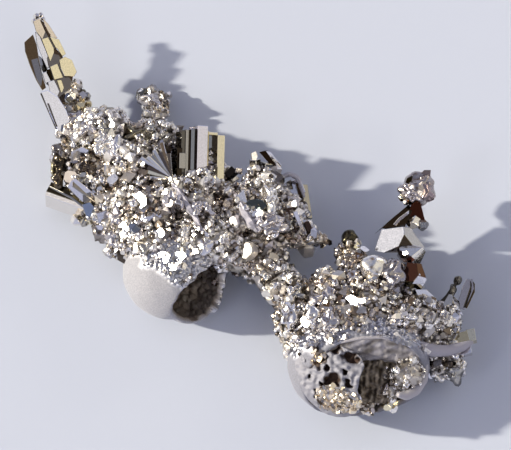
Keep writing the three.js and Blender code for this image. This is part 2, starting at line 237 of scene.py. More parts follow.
def metal(name, smoothest, roughest, grain, strength, by_face=False):
    """Palladium: a metal in the faces' stored tone, mottled by noise of the given grain in mm.
    The noise also drives a bump of that strength, and the roughness between its two ends, unless
    the roughness share is stored on the faces."""
    made = bpy.data.materials.new(name)
    made.use_nodes = True
    tree = made.node_tree
    shader = tree.nodes["Principled BSDF"]
    shader.inputs["Metallic"].default_value = 1.0
    place = node(tree, "ShaderNodeTexCoord").outputs["Object"]
    scale = 1 / (grain * MM)
    noise = node(tree, "ShaderNodeTexNoise", Vector=place, Scale=scale, Detail=3.0).outputs[0]
    tone = node(tree, "ShaderNodeAttribute", {"attribute_name": CRYSTAL_TONE}).outputs["Color"]
    mottle = ramp(tree, noise, NOISE_LOW, NOISE_HIGH, MOTTLE)
    share, low, high = noise, NOISE_LOW, NOISE_HIGH
    if by_face:
        share = node(tree, "ShaderNodeAttribute", {"attribute_name": CRYSTAL_GLOSS}).outputs["Fac"]
        low, high = 0.0, 1.0
    bump = node(tree, "ShaderNodeBump", Strength=strength, Distance=grain * BUMP_SHARE * MM,
                Height=noise).outputs[0]
    for socket, source in (
        ("Base Color", mix(tree, 1.0, tone, mottle, "MULTIPLY")),
        ("Roughness", ramp(tree, share, low, high, smoothest, roughest)),
        ("Normal", bump),
    ):
        tree.links.new(source, shader.inputs[socket])
    return made


# Growth faces are atomically flat: near mirrors, black or brilliant as they turn.
growth_faces = metal("palladium_growth_faces", 0.04, 0.14, GROWTH_STEP, 0.15)
# Grains are the same faces, too small to read one by one: together they glitter.
fine_grains = metal("palladium_grains", 0.07, 0.85, GRAIN_SIZE, 0.3, by_face=True)
# The droplets froze from a melt: an even, pale skin with soft highlights.
melt_skin = metal("palladium_melt_skin", 0.3, 0.92, SKIN_GRAIN, 0.4, by_face=True)
# Satin ridges and sheets: almost no highlights, so they read as bone-like bands.
satin = metal("palladium_satin", 0.72, 0.9, SKIN_GRAIN, 0.3)
# Etched faces have lost their mirror: broad blurred reflections, as on glassy lumps.
soft_faces = metal("palladium_etched_faces", 0.14, 0.34, GRAIN_SIZE, 0.25)
# The spongy metal between the grains: rough, and darker than the grains, partly its own grey and
# partly painted shade for the gaps, where alone it is seen.
sponge = metal("palladium_sponge", 0.25, 0.5, SPONGE_CELL, 1.0)
print("finishes:", len([m for m in bpy.data.materials if m.name.startswith("palladium_")]))

# %% [markdown]
# ## Making a piece
#
# Each form is a list of corners, faces and a tone. Blender's own primitives could be joined
# instead, but arrays are quicker and can be measured. Shapes are worked out in millimetres,
# because Blender's bevel and merge tolerances are coarse for a thing that is 0.01 units long.
# Each finished mesh is then scaled to metres, so its object stays at the origin, unturned.


# %% Joining and cleaning
EDGE = 0.012  # mm, the bevel that lets a crystal's edges catch the light
NEAR = 1e-5  # mm, corners closer than this are one


def gather(forms):
    """Many (vertices, faces, tone) forms as one: later vertex numbers are shifted up."""
    vertices, faces, spans, total = [], [], [], 0
    for points, corners, tone in forms:
        vertices.append(points)
        faces += [[c + total for c in face] for face in corners]
        spans.append((len(corners), tone))
        total += len(points)
    return np.vstack(vertices), faces, spans


def facet_tones(normals, middles, owners, tones):
    """One colour per face: a form's tone is one hex value, a function of the faces' middles, or a
    list of (direction, hex), from which each face takes the direction nearest to its normal."""
    colours = np.ones((len(normals), 4), np.float32)
    for number, tone in enumerate(tones):
        own = owners == number
        if isinstance(tone, str):
            colours[own, :3] = linear(tone)
        elif callable(tone):
            colours[own, :3] = tone(middles[own])
        # A tone by direction paints each side of a crystal by what it mirrors: painted reflection.
        else:
            aims = np.array([np.array(d) / np.linalg.norm(d) for d, _ in tone])
            nearest = np.argmax(normals[own] @ aims.T, axis=1)
            colours[own, :3] = np.array([linear(c) for _, c in tone])[nearest]
    return colours


def cleaned(mesh):
    """Merges doubled corners, drops faces without area and turns every face outwards."""
    work = bmesh.new()
    work.from_mesh(mesh)
    bmesh.ops.remove_doubles(work, verts=work.verts, dist=NEAR)
    bmesh.ops.dissolve_degenerate(work, edges=work.edges, dist=NEAR)
    bmesh.ops.recalc_face_normals(work, faces=work.faces)
    work.to_mesh(mesh)
    work.free()


print("bevel:", EDGE, "mm")


# %% Finishing a piece
def stored(mesh, name, values, on="FACE"):
    """Stores one number, or one colour, per face or corner under that name."""
    kind, field = ("FLOAT", "value") if np.ndim(values) == 1 else ("FLOAT_COLOR", "color")
    layer = mesh.attributes.new(name, kind, on)
    layer.data.foreach_set(field, np.asarray(values, np.float32).ravel())


def finish_piece(mesh, name, material, bevel=0.0, smooth=False):
    """Applies a small bevel in millimetres, scales to metres and hands the piece to the frame."""
    piece = bpy.data.objects.new(name, mesh)
    bpy.context.collection.objects.link(piece)
    mesh.materials.append(material)
    if bevel:
        rounding = piece.modifiers.new("edge", "BEVEL")
        rounding.width, rounding.segments, rounding.limit_method = bevel, 1, "ANGLE"
        view = bpy.context.evaluated_depsgraph_get()
        piece.data = bpy.data.meshes.new_from_object(piece.evaluated_get(view))
        piece.modifiers.clear()
    piece.data.transform(Matrix.Scale(MM, 4))
    piece.data.name = name
    piece.data.polygons.foreach_set("use_smooth", np.full(len(piece.data.polygons), smooth))
    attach(piece, BODY)
    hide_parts(NODE)
    triangles = sum(len(p.vertices) - 2 for p in piece.data.polygons)
    print(f"{name}: {triangles} triangles")


def crystal_piece(name, forms, material=growth_faces, bevel=EDGE, smooth=False):
    """Joins the forms, cleans the mesh, stores each face's tone and finishes the piece."""
    vertices, faces, spans = gather(forms)
    mesh = bpy.data.meshes.new(name)
    mesh.from_pydata(vertices.tolist(), [], faces)
    owner = mesh.attributes.new("form", "INT", "FACE")
    numbers = np.repeat(np.arange(len(spans)), [count for count, _ in spans])
    owner.data.foreach_set("value", numbers.astype(np.int32))
    cleaned(mesh)
    normals, middles = np.zeros((2, len(mesh.polygons) * 3), np.float32)
    mesh.polygons.foreach_get("normal", normals)
    mesh.polygons.foreach_get("center", middles)
    numbers = np.zeros(len(mesh.polygons), np.int32)
    mesh.attributes["form"].data.foreach_get("value", numbers)
    normals, middles = normals.reshape(-1, 3), middles.reshape(-1, 3)
    tones = facet_tones(normals, middles, numbers, [tone for _, tone in spans])
    mesh.attributes.remove(mesh.attributes["form"])
    stored(mesh, CRYSTAL_TONE, tones)
    finish_piece(mesh, name, material, bevel, smooth)


def round_piece(name, forms, material):
    """A piece without edges: no bevel, shaded smooth."""
    crystal_piece(name, forms, material, bevel=0.0, smooth=True)


print("pieces ride on", BODY)

# %% [markdown]
# ## The view and the palette
#
# The specimen is known best as the camera shows it, so many places are given as right and up in
# the view, with a height above the table. Near white is the clean metal. The grey, dark, straw
# and brown tones set on single faces are painted reflection: they stand in for the dark and warm
# parts of the surroundings that those faces mirror. Named tones keep the pieces alike.

# %% View and palette
VIEW = np.array([
    [1, 0, 0], [0, math.sin(ELEVATION), math.cos(ELEVATION)], TOWARDS_CAMERA
])  # rows: to the right, up and towards the camera, as the camera shows them
UP = (0, 0, 1)
FORWARD_UP = (0, -0.42, 0.91)
LEFT_UP = (-0.6, -0.3, 0.75)
RIGHT_UP = (0.45, -0.3, 0.84)
# Near white is the clean metal; the darker, straw and brown tones set on single faces are painted
# reflection.
PALE, LILAC, CREAM, STRAW = "f8f3ec", "e6e2e2", "f0e6c8", "d8c8a0"
GREY, STEEL, SMOKE = "b0aca6", "8a8e98", "6a665f"
BROWN, RUST, OLIVE, DARK, INK = "6b4a30", "6e4030", "57503c", "3a322a", "1f1b17"
# The right droplet's skin is the left's skin painted darker, a painted shade. The hollow tones
# paint the droplets' insides darker and browner than the skin, also a painted shade.
SKIN, SKIN_PAINTED_SHADE, HOLLOW, HOLLOW_PALE = "c4c3c9", "acacb6", "a4988e", "b8b0a6"
print("one mm up in the view is", np.round(VIEW[1], 3).tolist())

# %% [markdown]
# ## Rods and points
#
# Palladium is cubic, so its crystals are square rods, cubes, octahedra and what lies between.
# A rod is a profile carried from one point to another, scaled at its end; with the scale at 0 it
# is a spike. Extruding by hand gives the same form, but not one that a list of numbers can set.


# %% Carried profiles
SQUARE = np.array([(-0.5, -0.5), (0.5, -0.5), (0.5, 0.5), (-0.5, 0.5)])


def unit(vector):
    vector = np.asarray(vector, float)
    return vector / np.linalg.norm(vector)


def axes(start, end, facing):
    """Rows across, outwards and along for a crystal from start to end whose broad face looks to
    facing. Across runs to the right of a viewer who looks at that face: along x facing."""
    along = unit(np.subtract(end, start))
    across = unit(np.cross(along, facing))
    return np.array([across, np.cross(across, along), along])


def carried(rings, tone):
    """A closed skin through a stack of rings, (stations, corners, 3): quads join each corner to
    the next on its own ring and on the next ring, and one flat face closes each end."""
    stations, corners, _ = rings.shape
    ring, corner = np.meshgrid(np.arange(stations - 1), np.arange(corners), indexing="ij")
    low, step = ring * corners, (corner + 1) % corners
    quads = np.stack([low + corner, low + step, low + corners + step, low + corners + corner], -1)
    ends = [list(range(corners))[::-1], list(range((stations - 1) * corners, stations * corners))]
    return rings.reshape(-1, 3), quads.reshape(-1, 4).tolist() + ends, tone


def rod(start, end, width, depth, facing=FORWARD_UP, tone=PALE, profile=SQUARE, taper=1.0):
    """start + s*along + scale(s)*(x*width*across + y*depth*outwards), (x, y) on the profile."""
    length = np.linalg.norm(np.subtract(end, start))
    scale = np.array([1.0, taper])[:, None]
    local = np.stack([
        profile[None, :, 0] * width * scale,
        profile[None, :, 1] * depth * scale,
        np.broadcast_to(np.array([0.0, length])[:, None], (2, len(profile))),
    ], -1)
    return carried(np.array(start) + local @ axes(start, end, facing), tone)


def turn(x, y, z):
    """Rotation about x, then y, then z of the turned crystal, as one 3 x 3 matrix."""
    cx, cy, cz = np.cos([x, y, z])
    sx, sy, sz = np.sin([x, y, z])
    about_x = np.array([[1, 0, 0], [0, cx, -sx], [0, sx, cx]])
    about_y = np.array([[cy, 0, sy], [0, 1, 0], [-sy, 0, cy]])
    about_z = np.array([[cz, -sz, 0], [sz, cz, 0], [0, 0, 1]])
    return about_x @ about_y @ about_z


def octahedron(at, radius, angles, tone=PALE):
    """A square profile carried through three stations, scaled 0, 1, 0."""
    square = np.array([(1, 0, 0), (0, 1, 0), (-1, 0, 0), (0, -1, 0)], float)
    rings = np.stack([square * 0 + (0, 0, -1), square, square * 0 + (0, 0, 1)])
    return carried(np.array(at) + (rings * radius) @ turn(*angles).T, tone)


print("a rod has", len(rod((0, 0, 0), (0, 0, 1), 1, 1)[1]), "faces")

# %% [markdown]
# ## Cut crystals
#
# The larger crystals are cubes whose corners grew flat. Cutting a mesh with planes one by one
# is slow and leaves stray edges. A crystal is instead the space behind all its faces at once,
# so its corners are the points where three faces meet that no other face cuts off.


# %% Crystals from their faces
PARALLEL = 1e-3  # three faces whose determinant is below this meet nowhere useful


def crystal(at, faces, own=VIEW):
    """The space behind every face. A face is (direction, distance, tone) in the crystal's own
    axes. Any three faces meet in a point, and the corners are those that lie behind the rest."""
    normals = np.array([unit(direction) for direction, _, _ in faces]) @ own
    far = np.array([distance for _, distance, _ in faces])
    trios = np.array(list(itertools.combinations(range(len(faces)), 3)))
    trios = trios[abs(np.linalg.det(normals[trios])) > PARALLEL]
    corners = np.linalg.solve(normals[trios], far[trios][..., None])[..., 0]
    corners = corners[(corners @ normals.T <= far + 1e-6).all(1)]
    corners = np.unique(np.round(corners, 5), axis=0)
    polygons = []
    for normal, distance in zip(normals, far):
        on = np.flatnonzero(abs(corners @ normal - distance) < 1e-4)
        if len(on) > 2:
            spokes = corners[on] - corners[on].mean(0)
            round_it = np.arctan2(spokes @ np.cross(normal, spokes[0]), spokes @ spokes[0])
            polygons.append(on[np.argsort(round_it)].tolist())
    tones = [(normal, tone) for normal, (_, _, tone) in zip(normals, faces)]
    return corners + at, polygons, tones


def cut_cube(at, edge, reach, angles, tone=PALE):
    """A turned cube of that edge. Its corners are cut where |x| + |y| + |z| passes the reach."""
    sides = np.vstack([np.eye(3), -np.eye(3)])[[0, 3, 1, 4, 2, 5]]
    faces = [(side, edge / 2, tone) for side in sides]
    faces += [(tip, reach / math.sqrt(3), tone) for tip in itertools.product((-1, 1), repeat=3)]
    return crystal(at, faces, turn(*angles).T)


print("a cut cube has", len(cut_cube((0, 0, 0), 1, 1, (0, 0, 0))[0]), "corners")

# %% [markdown]
# ## Places in the view
#
# What is nearer to the camera looks a little larger. Setting crystals by eye would take many
# trials. Short functions go from a place in the view and a height to a point on the specimen,
# and back, so a crystal shows exactly where its numbers say.


# %% Places in the view
def towards(places, near):
    """(right, up, near) rows in mm whose points show at those (right, up) places. What is nearer
    than the camera's target looks larger, so it is drawn in towards the middle."""
    middle = VIEW @ camera_target
    shrink = 1 - (near - middle[2])[..., None] / camera_distance
    return np.concatenate([middle[:2] + (places - middle[:2]) * shrink, near[..., None]], -1)


def seen(right, up, height):
    """The point which shows that far right and up of the origin, at that height, all in mm."""
    near = (height - VIEW[1, 2] * up) / VIEW[2, 2]
    right, up, _ = towards(np.array([right, up]), near)
    return np.array([right, (up - VIEW[1, 2] * height) / VIEW[1, 1], height])


def shows(points):
    """Where points show, as (right, up) in mm, and how near they are: towards, the other way."""
    rows = points @ VIEW.T
    middle = VIEW @ camera_target
    shrink = 1 - (rows[..., 2:] - middle[2]) / camera_distance
    return middle[:2] + (rows[..., :2] - middle[:2]) / shrink, rows[..., 2]


print("right 1, up 2, height 1 is at", np.round(seen(1, 2, 1), 3).tolist())

# %% [markdown]
# ## Flakes
#
# Many faces of the specimen are thin plates, of which only the outline and the tilt can be
# told. A flake is that: an outline in the view, carried a short way back, leaning so that it
# mirrors a chosen part of the sky. A full crystal under each would hardly ever be seen. Grains
# would hide them, so each flake also keeps its own place clear.


# %% Flakes
FLAKE_DEPTH = 0.12  # mm
FLAKES = []  # outline, centre, nearness and lean of each flake: grains stay clear of them


def keep_clear(outline, height):
    """Marks a place that no grain may hide, as seen by the camera."""
    outline = np.array(outline, float)
    centre = outline.mean(0)
    FLAKES.append((outline, centre, seen(*centre, height) @ VIEW[2], np.zeros(2)))


def flake(outline, height, tone=PALE, lean=(0.0, 0.0), depth=FLAKE_DEPTH, side=GREY):
    """A flat crystal whose broad face looks to the camera. The outline is (right, up) points in
    mm. A point's nearness = middle + lean . (point - centre). The back is a tenth smaller and
    lies depth behind it all."""
    outline = np.array(outline, float)
    centre = outline.mean(0)
    middle = seen(*centre, height) @ VIEW[2]
    near = middle + (outline - centre) @ np.array(lean)
    FLAKES.append((outline, centre, middle, np.array(lean)))
    back = np.full(len(outline), near.min() - depth)
    rings = towards(np.stack([outline * 0.9 + centre * 0.1, outline]), np.stack([back, near]))
    aims = [((-lean[0], -lean[1], 1.0), tone)]
    aims += [(way, side) for way in ((1, 0, 0.1), (-1, 0, 0.1), (0, 1, 0.1), (0, -1, 0.1))]
    return carried(rings @ VIEW, [(np.array(way) @ VIEW, aim) for way, aim in aims])


print("flake depth:", FLAKE_DEPTH, "mm")

# %% [markdown]
# ## Random fields
#
# Nothing on the specimen is even. Slow waves bend and shade whole patches, and beads, which are
# cells round random centres, make the warts of a frozen surface. Noise textures could shade
# them but not move the points. These are formulas of the place, the same on every run, and
# neighbouring pieces share them.


# %% Waves and beads
def waves(points, size, count, seed):
    """A smooth random field between about -1 and 1: a sum of sine waves of about that length in
    mm, in random directions."""
    source = np.random.default_rng(seed)
    directions = source.normal(size=(count, 3))
    lengths = size / source.uniform(0.6, 1.6, count)
    directions *= (2 * math.pi / lengths / np.linalg.norm(directions, axis=1))[:, None]
    return np.sin(points @ directions.T + source.uniform(0, 7, count)).sum(-1) / math.sqrt(count)


def hashed(cells, salt):
    """Three random numbers between 0 and 1 for each whole-numbered cell, always the same. The
    large odd factors only stir the bits."""
    mixed = (cells * np.array([73856093, 19349663, 83492791])).sum(-1) + salt * 2654435761
    out = []
    for _ in range(3):
        mixed = (mixed ^ (mixed >> 15)) * 2246822519 & 0xFFFFFFFF
        mixed = (mixed ^ (mixed >> 13)) * 3266489917 & 0xFFFFFFFF
        out.append((mixed ^ (mixed >> 16)) / 4294967296)
    return np.stack(out, -1)


def beads(points, size, salt):
    """Space is cut into cubes of that size with one bead centre in each, at random. Gives each
    point its distance to the nearest centre, in sizes, and that bead's three random numbers."""
    cell = np.floor(points / size).astype(np.int64)
    nearest = np.full(len(points), np.inf)
    chance = np.zeros((len(points), 3))
    for shift in np.ndindex(3, 3, 3):
        other = cell + np.array(shift) - 1
        centre = hashed(other, salt)
        far = np.linalg.norm(points / size - other - centre, axis=1)
        closer = far < nearest
        nearest[closer] = far[closer]
        chance[closer] = centre[closer]
    return nearest, chance


def dome(distance, reach=0.75):
    """The height of a ball of that reach above its own middle, at that distance from it."""
    return np.sqrt(np.maximum(reach**2 - distance**2, 0))


print("a wave at the origin:", round(float(waves(np.zeros(3), 1.0, 30, 13)), 3))

# %% [markdown]
# ## Strands
#
# Ridges, stalks and the droplet's lip are bands that wind and swell. A curve object with a
# bevel would do, but it must be turned into a mesh in the end. A strand is that mesh at once:
# rings of the wanted width, set across a smoothed path.


# %% Strands
STRAND_WAVE = 0.18  # mm, length of the bumps on a rough strand


def strand(points, widths, tone, steps, corners, rough=0.0):
    """A round strand through the points. The path between them is straight, then smoothed once,
    and a ring of the width there stands across the path at each step. Waves roughen it."""
    points, widths = np.array(points, float), np.array(widths, float)
    at = np.linspace(0, len(points) - 1, steps)
    low = np.minimum(at.astype(int), len(points) - 2)
    part = (at - low)[:, None]
    path = points[low] * (1 - part) + points[low + 1] * part
    path[1:-1] = (path[:-2] + 2 * path[1:-1] + path[2:]) / 4
    width = np.interp(at, np.arange(len(widths)), widths)[:, None, None]
    along = np.gradient(path, axis=0)
    along /= np.linalg.norm(along, axis=1)[:, None]
    across = np.cross(along, VIEW[2])
    across /= np.linalg.norm(across, axis=1)[:, None]
    over = np.cross(across, along)
    u = np.linspace(0, 2 * math.pi, corners, endpoint=False)[None, :, None]
    spokes = width * (np.cos(u) * across[:, None] + np.sin(u) * over[:, None])
    places = (path[:, None] + spokes).reshape(-1, 3)
    push = waves(places, STRAND_WAVE, 24, 6).reshape(steps, corners, 1)
    return carried(path[:, None] + spokes * (1 + rough * push), tone)


print("strand wave:", STRAND_WAVE, "mm")

# %% [markdown]
# ## The droplets
#
# Each droplet is a hollow ball that froze with a ragged mouth. A ball with a hole cut by a
# boolean would have no wall and a rough edge. Instead two parameters make the whole shell: one
# runs round the mouth, the other from the pole opposite the mouth, up the outside, over the rim
# and back down the inside. The rim is where the ball meets a second ball, the mouth.

# %% Droplet sizes
LEFT_DROPLET = dict(
    bodies=(((-1.92, -1.4, 0.97), (1.27, 1.25, 0.97)), ((-1.55, -1.75, 0.85), (0.9, 0.95, 0.8))),
    mouth=((-0.72, -2.36, 1.19), (1.3, 1.06, 0.8)),
)
RIGHT_DROPLET = dict(
    bodies=(((2.65, -3.95, 1.05), (1.75, 1.45, 1.05)),),
    mouth=((2.95, -5.05, 1.65), (1.85, 1.5, 1.35)),
)  # (centre, radii) of each ball, in mm
RESTING_CUT = 0.03  # mm of each ball that its flat foot takes away
WALL = 0.09  # mm
LIP_STEPS = 8  # across the rounded rim, both ends counted
LINING_BEAD, COAT_BEAD = 0.13, 0.085  # mm across a bead inside and outside
LINING_SHIFT = 0.2  # mm inwards, so that the lining's beads aren't those of the outside
DENT_SIZE, DENT_DEPTH = 0.5, 0.006  # mm
BEAD_GAP = 0.6  # bead sizes: a point that far from its bead's middle lies in a gap
# Painted shade: the share by which the gaps between the coat's beads are painted darker.
PIT_SHADE = 0.4  # how much darker the gaps are
LINING_GLOSS = 0.7  # share of roughness inside
print("walls:", WALL, "mm")


# %% Droplet shells
def reach(ways, bodies):
    """How far the droplet goes along each direction from its first body's centre: the furthest
    root of |(centre + t*way - at) / radii| = 1 over its bodies."""
    centre = np.array(bodies[0][0])
    roots = []
    for at, radii in bodies:
        off, radii = (centre - at) / radii, np.array(radii)
        a = ((ways / radii) ** 2).sum(-1)
        b = (ways / radii * off).sum(-1)
        roots.append((-b + np.sqrt(np.maximum(b**2 - a * ((off**2).sum() - 1), 0))) / a)
    return np.max(roots, axis=0)


def inside(points, at, radii, grow=0.0):
    return (((points - at) / (np.asarray(radii) + grow)) ** 2).sum(-1) < 1


def shell_piece(name, bodies, mouth, columns, rows, ragged, crusted, skin_tone):
    """Way from the first body's centre = cos(t)*back + sin(t)*(cos(u)*side + sin(u)*over), and
    the point is where the droplet ends along that way. t runs from 0 to the rim angle of column
    u on the outside, then back to 0 on the inside, one wall nearer to the centre. The inside is
    lined with beads, and so is the outside where crusted(points) says."""
    centre = np.array(bodies[0][0])
    out = unit(np.array(mouth[0]) - centre)
    side = unit(np.cross(out, UP))
    over = np.cross(side, out)
    turns = np.linspace(0, 2 * math.pi, columns, endpoint=False)
    circle = np.cos(turns)[:, None] * side + np.sin(turns)[:, None] * over

    def ways(t):
        return -np.cos(t)[..., None] * out + np.sin(t)[..., None] * circle

    # the rim: the first try, going up from the back, that the mouth swallows
    tries = np.linspace(0.3, math.pi, 500)[:, None] + np.zeros(columns)
    edge = ways(tries)
    swallowed = inside(centre + edge * reach(edge, bodies)[..., None], *mouth)
    rim = tries[np.argmax(swallowed, axis=0), 0]
    rim = rim + ragged * waves(circle, 0.35, 16, 5)
    # angle t and depth below the outside for every row: up, over the lip, back down
    outside = np.linspace(0, 1, rows)
    lip = np.linspace(0, math.pi, LIP_STEPS)[1:-1]
    travel = np.concatenate([outside, 1 + lip * 0, outside[::-1]])[:, None] * rim
    travel[rows : rows + len(lip)] += (WALL / 2 * np.sin(lip))[:, None]
    depth = np.concatenate([outside * 0, WALL / 2 * (1 - np.cos(lip)), outside * 0 + WALL])[:, None]
    way = ways(travel)
    far = reach(way, bodies)
    flat = (centre + way * far[..., None]).reshape(-1, 3)
    inner = np.broadcast_to(depth > WALL * 0.6, travel.shape)
    # relief and tones
    shifted = flat - way.reshape(-1, 3) * LINING_SHIFT * inner.reshape(-1, 1)
    cells, chance = beads(shifted, LINING_BEAD, 3)
    fine, _ = beads(flat, COAT_BEAD, 4)
    coat = crusted(flat).reshape(travel.shape)
    lining = dome(cells).reshape(travel.shape) * LINING_BEAD
    coating = dome(fine).reshape(travel.shape) * COAT_BEAD * coat
    dents = waves(flat, DENT_SIZE, 20, 8).reshape(travel.shape) * DENT_DEPTH
    push = np.where(inner, -lining, coating + dents) - depth
    rings = centre + way * (far + push)[..., None]
    rings[..., 2] = np.maximum(rings[..., 2] - RESTING_CUT, 0.0)
    share = (chance[:, :1] ** 3).reshape(*travel.shape, 1)
    pits = (coat * (fine > BEAD_GAP).reshape(travel.shape))[..., None]
    # Inside, the tones are painted darker and browner, a painted shade in the hollow. Outside, the
    # skin is painted darker in the gaps between beads, also a painted shade.
    tones = np.where(
        inner[..., None],
        linear(HOLLOW) + (linear(HOLLOW_PALE) - linear(HOLLOW)) * share,
        linear(skin_tone) * (1 - PIT_SHADE * pits),
    )
    vertices, faces, _ = carried(rings, PALE)
    mesh = bpy.data.meshes.new(name)
    mesh.from_pydata(vertices.tolist(), [], faces)
    stored(mesh, CRYSTAL_TONE, np.c_[tones.reshape(-1, 3), np.ones(len(vertices))], "POINT")
    stored(mesh, CRYSTAL_GLOSS, np.where(inner, LINING_GLOSS, 1 - coat).ravel(), "POINT")
    cleaned(mesh)
    finish_piece(mesh, name, melt_skin, smooth=True)


print("cut off below:", RESTING_CUT, "mm")

# %% [markdown]
# ## Where the skin is crusted
#
# Below a wavy line each droplet keeps its satin skin; above it grains have grown on it. The line
# could be painted as a mask. As a formula of the place it also tells the grains where to sit.


# %% Skins
COAT_BAND = 0.2  # mm over which the skin turns into crust
LEFT_LINE, RIGHT_LINE = 2.71, 2.5  # mm below the origin where the lines run
LEFT_SLOPE = np.array([0.75, 0.9063, 0.4226])  # the left line rises to the left
RIGHT_BEND, RIGHT_MIDDLE = 0.3, 2.7  # the right line is a shallow V about x = 2.7


def left_coat(points):
    """0 on the satin, 1 on the crust: height along the slope, bent by waves."""
    height = points @ LEFT_SLOPE + waves(points, 0.6, 12, 21) * 0.1
    return np.clip((height + LEFT_LINE) / COAT_BAND, 0, 1)


def right_coat(points):
    """The same for the right droplet: height in the view plus the V, bent by waves."""
    bend = RIGHT_BEND * abs(points[:, 0] - RIGHT_MIDDLE)
    height = points @ VIEW[1] + bend + waves(points, 0.6, 12, 22) * 0.08
    return np.clip((height + RIGHT_LINE) / COAT_BAND, 0, 1)


shell_piece("left_droplet", **LEFT_DROPLET, columns=240, rows=130, ragged=0.02,
            crusted=left_coat, skin_tone=SKIN)
shell_piece("right_droplet", **RIGHT_DROPLET, columns=280, rows=140, ragged=0.015,
            crusted=right_coat, skin_tone=SKIN_PAINTED_SHADE)

# %% [markdown]
# ## The crust
#
# The crust is a heap of round masses. One sculpted surface could follow it, but balls with
# names can be moved one by one. Their spongy bodies, darker than the grains, partly in their own
# grey and partly as painted shade, only show in the gaps: what the eye sees is the grains that
# cover them. Most are the masses of the solid model, at the same places and sizes. Only the scree
# and the low tail are extra, and the knob's two lie a little lower.

# %% Crust bodies
LUMPS = {  # centre and radii of each mass, in mm
    "back_left": ((-3.75, 2.25, 1.15), (0.75, 0.68, 0.58)),
    "far_left": ((-4.62, 1.8, 0.75), (0.33, 0.35, 0.35)),
    "spire_root": ((-4.45, 2.6, 0.8), (0.42, 0.5, 0.38)),
    "left_shoulder": ((-3.9, 1.2, 1.0), (0.7, 0.7, 0.55)),
    "left_flank": ((-3.45, 0.25, 1.0), (0.55, 0.6, 0.5)),
    "upper_left": ((-2.9, 1.2, 1.3), (0.8, 0.8, 0.6)),
    "middle": ((-2.5, 0.0, 1.3), (1.0, 0.8, 0.6)),
    "upper_middle": ((-1.4, 0.25, 1.3), (0.9, 0.85, 0.6)),
    "inner_right": ((-0.3, 0.05, 1.15), (0.8, 0.75, 0.55)),
    "front_left": ((-3.0, -0.55, 1.15), (0.6, 0.6, 0.5)),
    "front_middle": ((-2.2, -0.9, 1.5), (0.8, 0.5, 0.42)),
    "front_edge": ((-1.2, -0.85, 1.45), (0.9, 0.5, 0.42)),
    "back": ((-2.5, 2.1, 1.1), (0.75, 0.5, 0.52)),
    "under_block": ((-1.5, 1.3, 1.05), (0.75, 0.6, 0.5)),
    "foot": ((-0.95, 1.35, 0.4), (0.45, 0.4, 0.43)),
    "ankle": ((-0.95, 0.95, 0.85), (0.5, 0.5, 0.4)),
    "centre": ((0.6, 0.15, 0.95), (0.75, 0.7, 0.5)),
    "centre_top": ((0.3, 0.85, 1.25), (0.42, 0.42, 0.38)),
    "centre_right": ((1.2, -0.35, 0.9), (0.45, 0.35, 0.32)),
    "centre_front": ((0.3, -0.75, 1.0), (0.55, 0.45, 0.4)),
    "bridge_left": ((-0.3, -1.15, 1.15), (0.5, 0.4, 0.36)),
    "bridge_middle": ((0.4, -1.5, 1.05), (0.48, 0.4, 0.36)),
    "bridge_right": ((0.95, -2.0, 1.0), (0.48, 0.45, 0.4)),
    "inner_flank": ((1.15, -2.75, 1.0), (0.5, 0.6, 0.5)),
    "outer_flank": ((1.35, -3.4, 0.9), (0.45, 0.55, 0.5)),
    "right_back": ((2.0, -2.1, 1.0), (0.8, 0.62, 0.55)),
    "right_top": ((2.95, -2.35, 1.2), (0.85, 0.6, 0.6)),
    "right_crown": ((2.3, -3.05, 1.6), (0.95, 0.6, 0.45)),
    "right_brow": ((3.45, -3.0, 1.4), (0.7, 0.5, 0.42)),
    "right_shoulder": ((3.95, -2.7, 1.05), (0.7, 0.55, 0.5)),
    "right_end": ((4.65, -2.8, 0.9), (0.48, 0.5, 0.4)),
    "right_tail": ((4.6, -3.45, 0.8), (0.5, 0.36, 0.3)),
    "scree_low": ((2.6, -1.35, 0.95), (0.38, 0.42, 0.38)),
    "scree_high": ((2.5, -0.95, 0.92), (0.28, 0.3, 0.28)),
    "stem": ((3.75, -1.85, 0.95), (0.4, 0.45, 0.35)),
    "tail_low": ((4.85, -3.85, 0.66), (0.42, 0.3, 0.26)),
    "lobe": ((3.95, -4.25, 0.6), (0.32, 0.36, 0.28)),
    "glassy_left": ((3.05, -1.45, 1.3), (0.32, 0.3, 0.3)),
    "glassy_right": ((3.55, -1.6, 1.2), (0.28, 0.5, 0.42)),
    "knob_stalk": ((-2.5, 2.9, 0.5), (0.24, 0.35, 0.24)),
    "knob_neck": ((-2.45, 3.36, 0.32), (0.22, 0.28, 0.2)),
}
SMOOTH_LUMPS = ("lobe", "glassy_left", "glassy_right")


def ball(at, radii, columns=32, rows=20, rough=0.05, size=0.3, tone="c8c0b6", seed=2):
    """centre + radii * (sin t cos u, sin t sin u, cos t), pushed in and out by waves."""
    t = np.linspace(0, math.pi, rows)[:, None]
    u = np.linspace(0, 2 * math.pi, columns, endpoint=False)[None, :]
    rings = np.stack([np.sin(t) * np.cos(u), np.sin(t) * np.sin(u), -np.cos(t) + 0 * u], -1) * radii
    push = waves((rings + at).reshape(-1, 3), size, 24, seed).reshape(rows, columns)
    rings = rings * (1 + rough * push / np.mean(radii))[..., None] + at
    return carried(rings, tone)


# The bodies keep the ball's default tone, darker than the grains: partly the sponge's own grey,
# partly painted shade for the gaps.
bodies = [
    ball(at, np.array(radii) * 0.93 - 0.02)
    for name, (at, radii) in LUMPS.items()
    if name not in SMOOTH_LUMPS
]
round_piece("crust", bodies, sponge)

# %% [markdown]
# ## Broad faces
#
# A mirror facet is as bright as what it mirrors. Painted bright or dark alone, it would look
# wrong from every other side. So each flake leans towards the part of the sky that it should
# show: the sun, the warm patch, or the pale horizon in front, and its tone paints in the rest,
# a painted reflection.

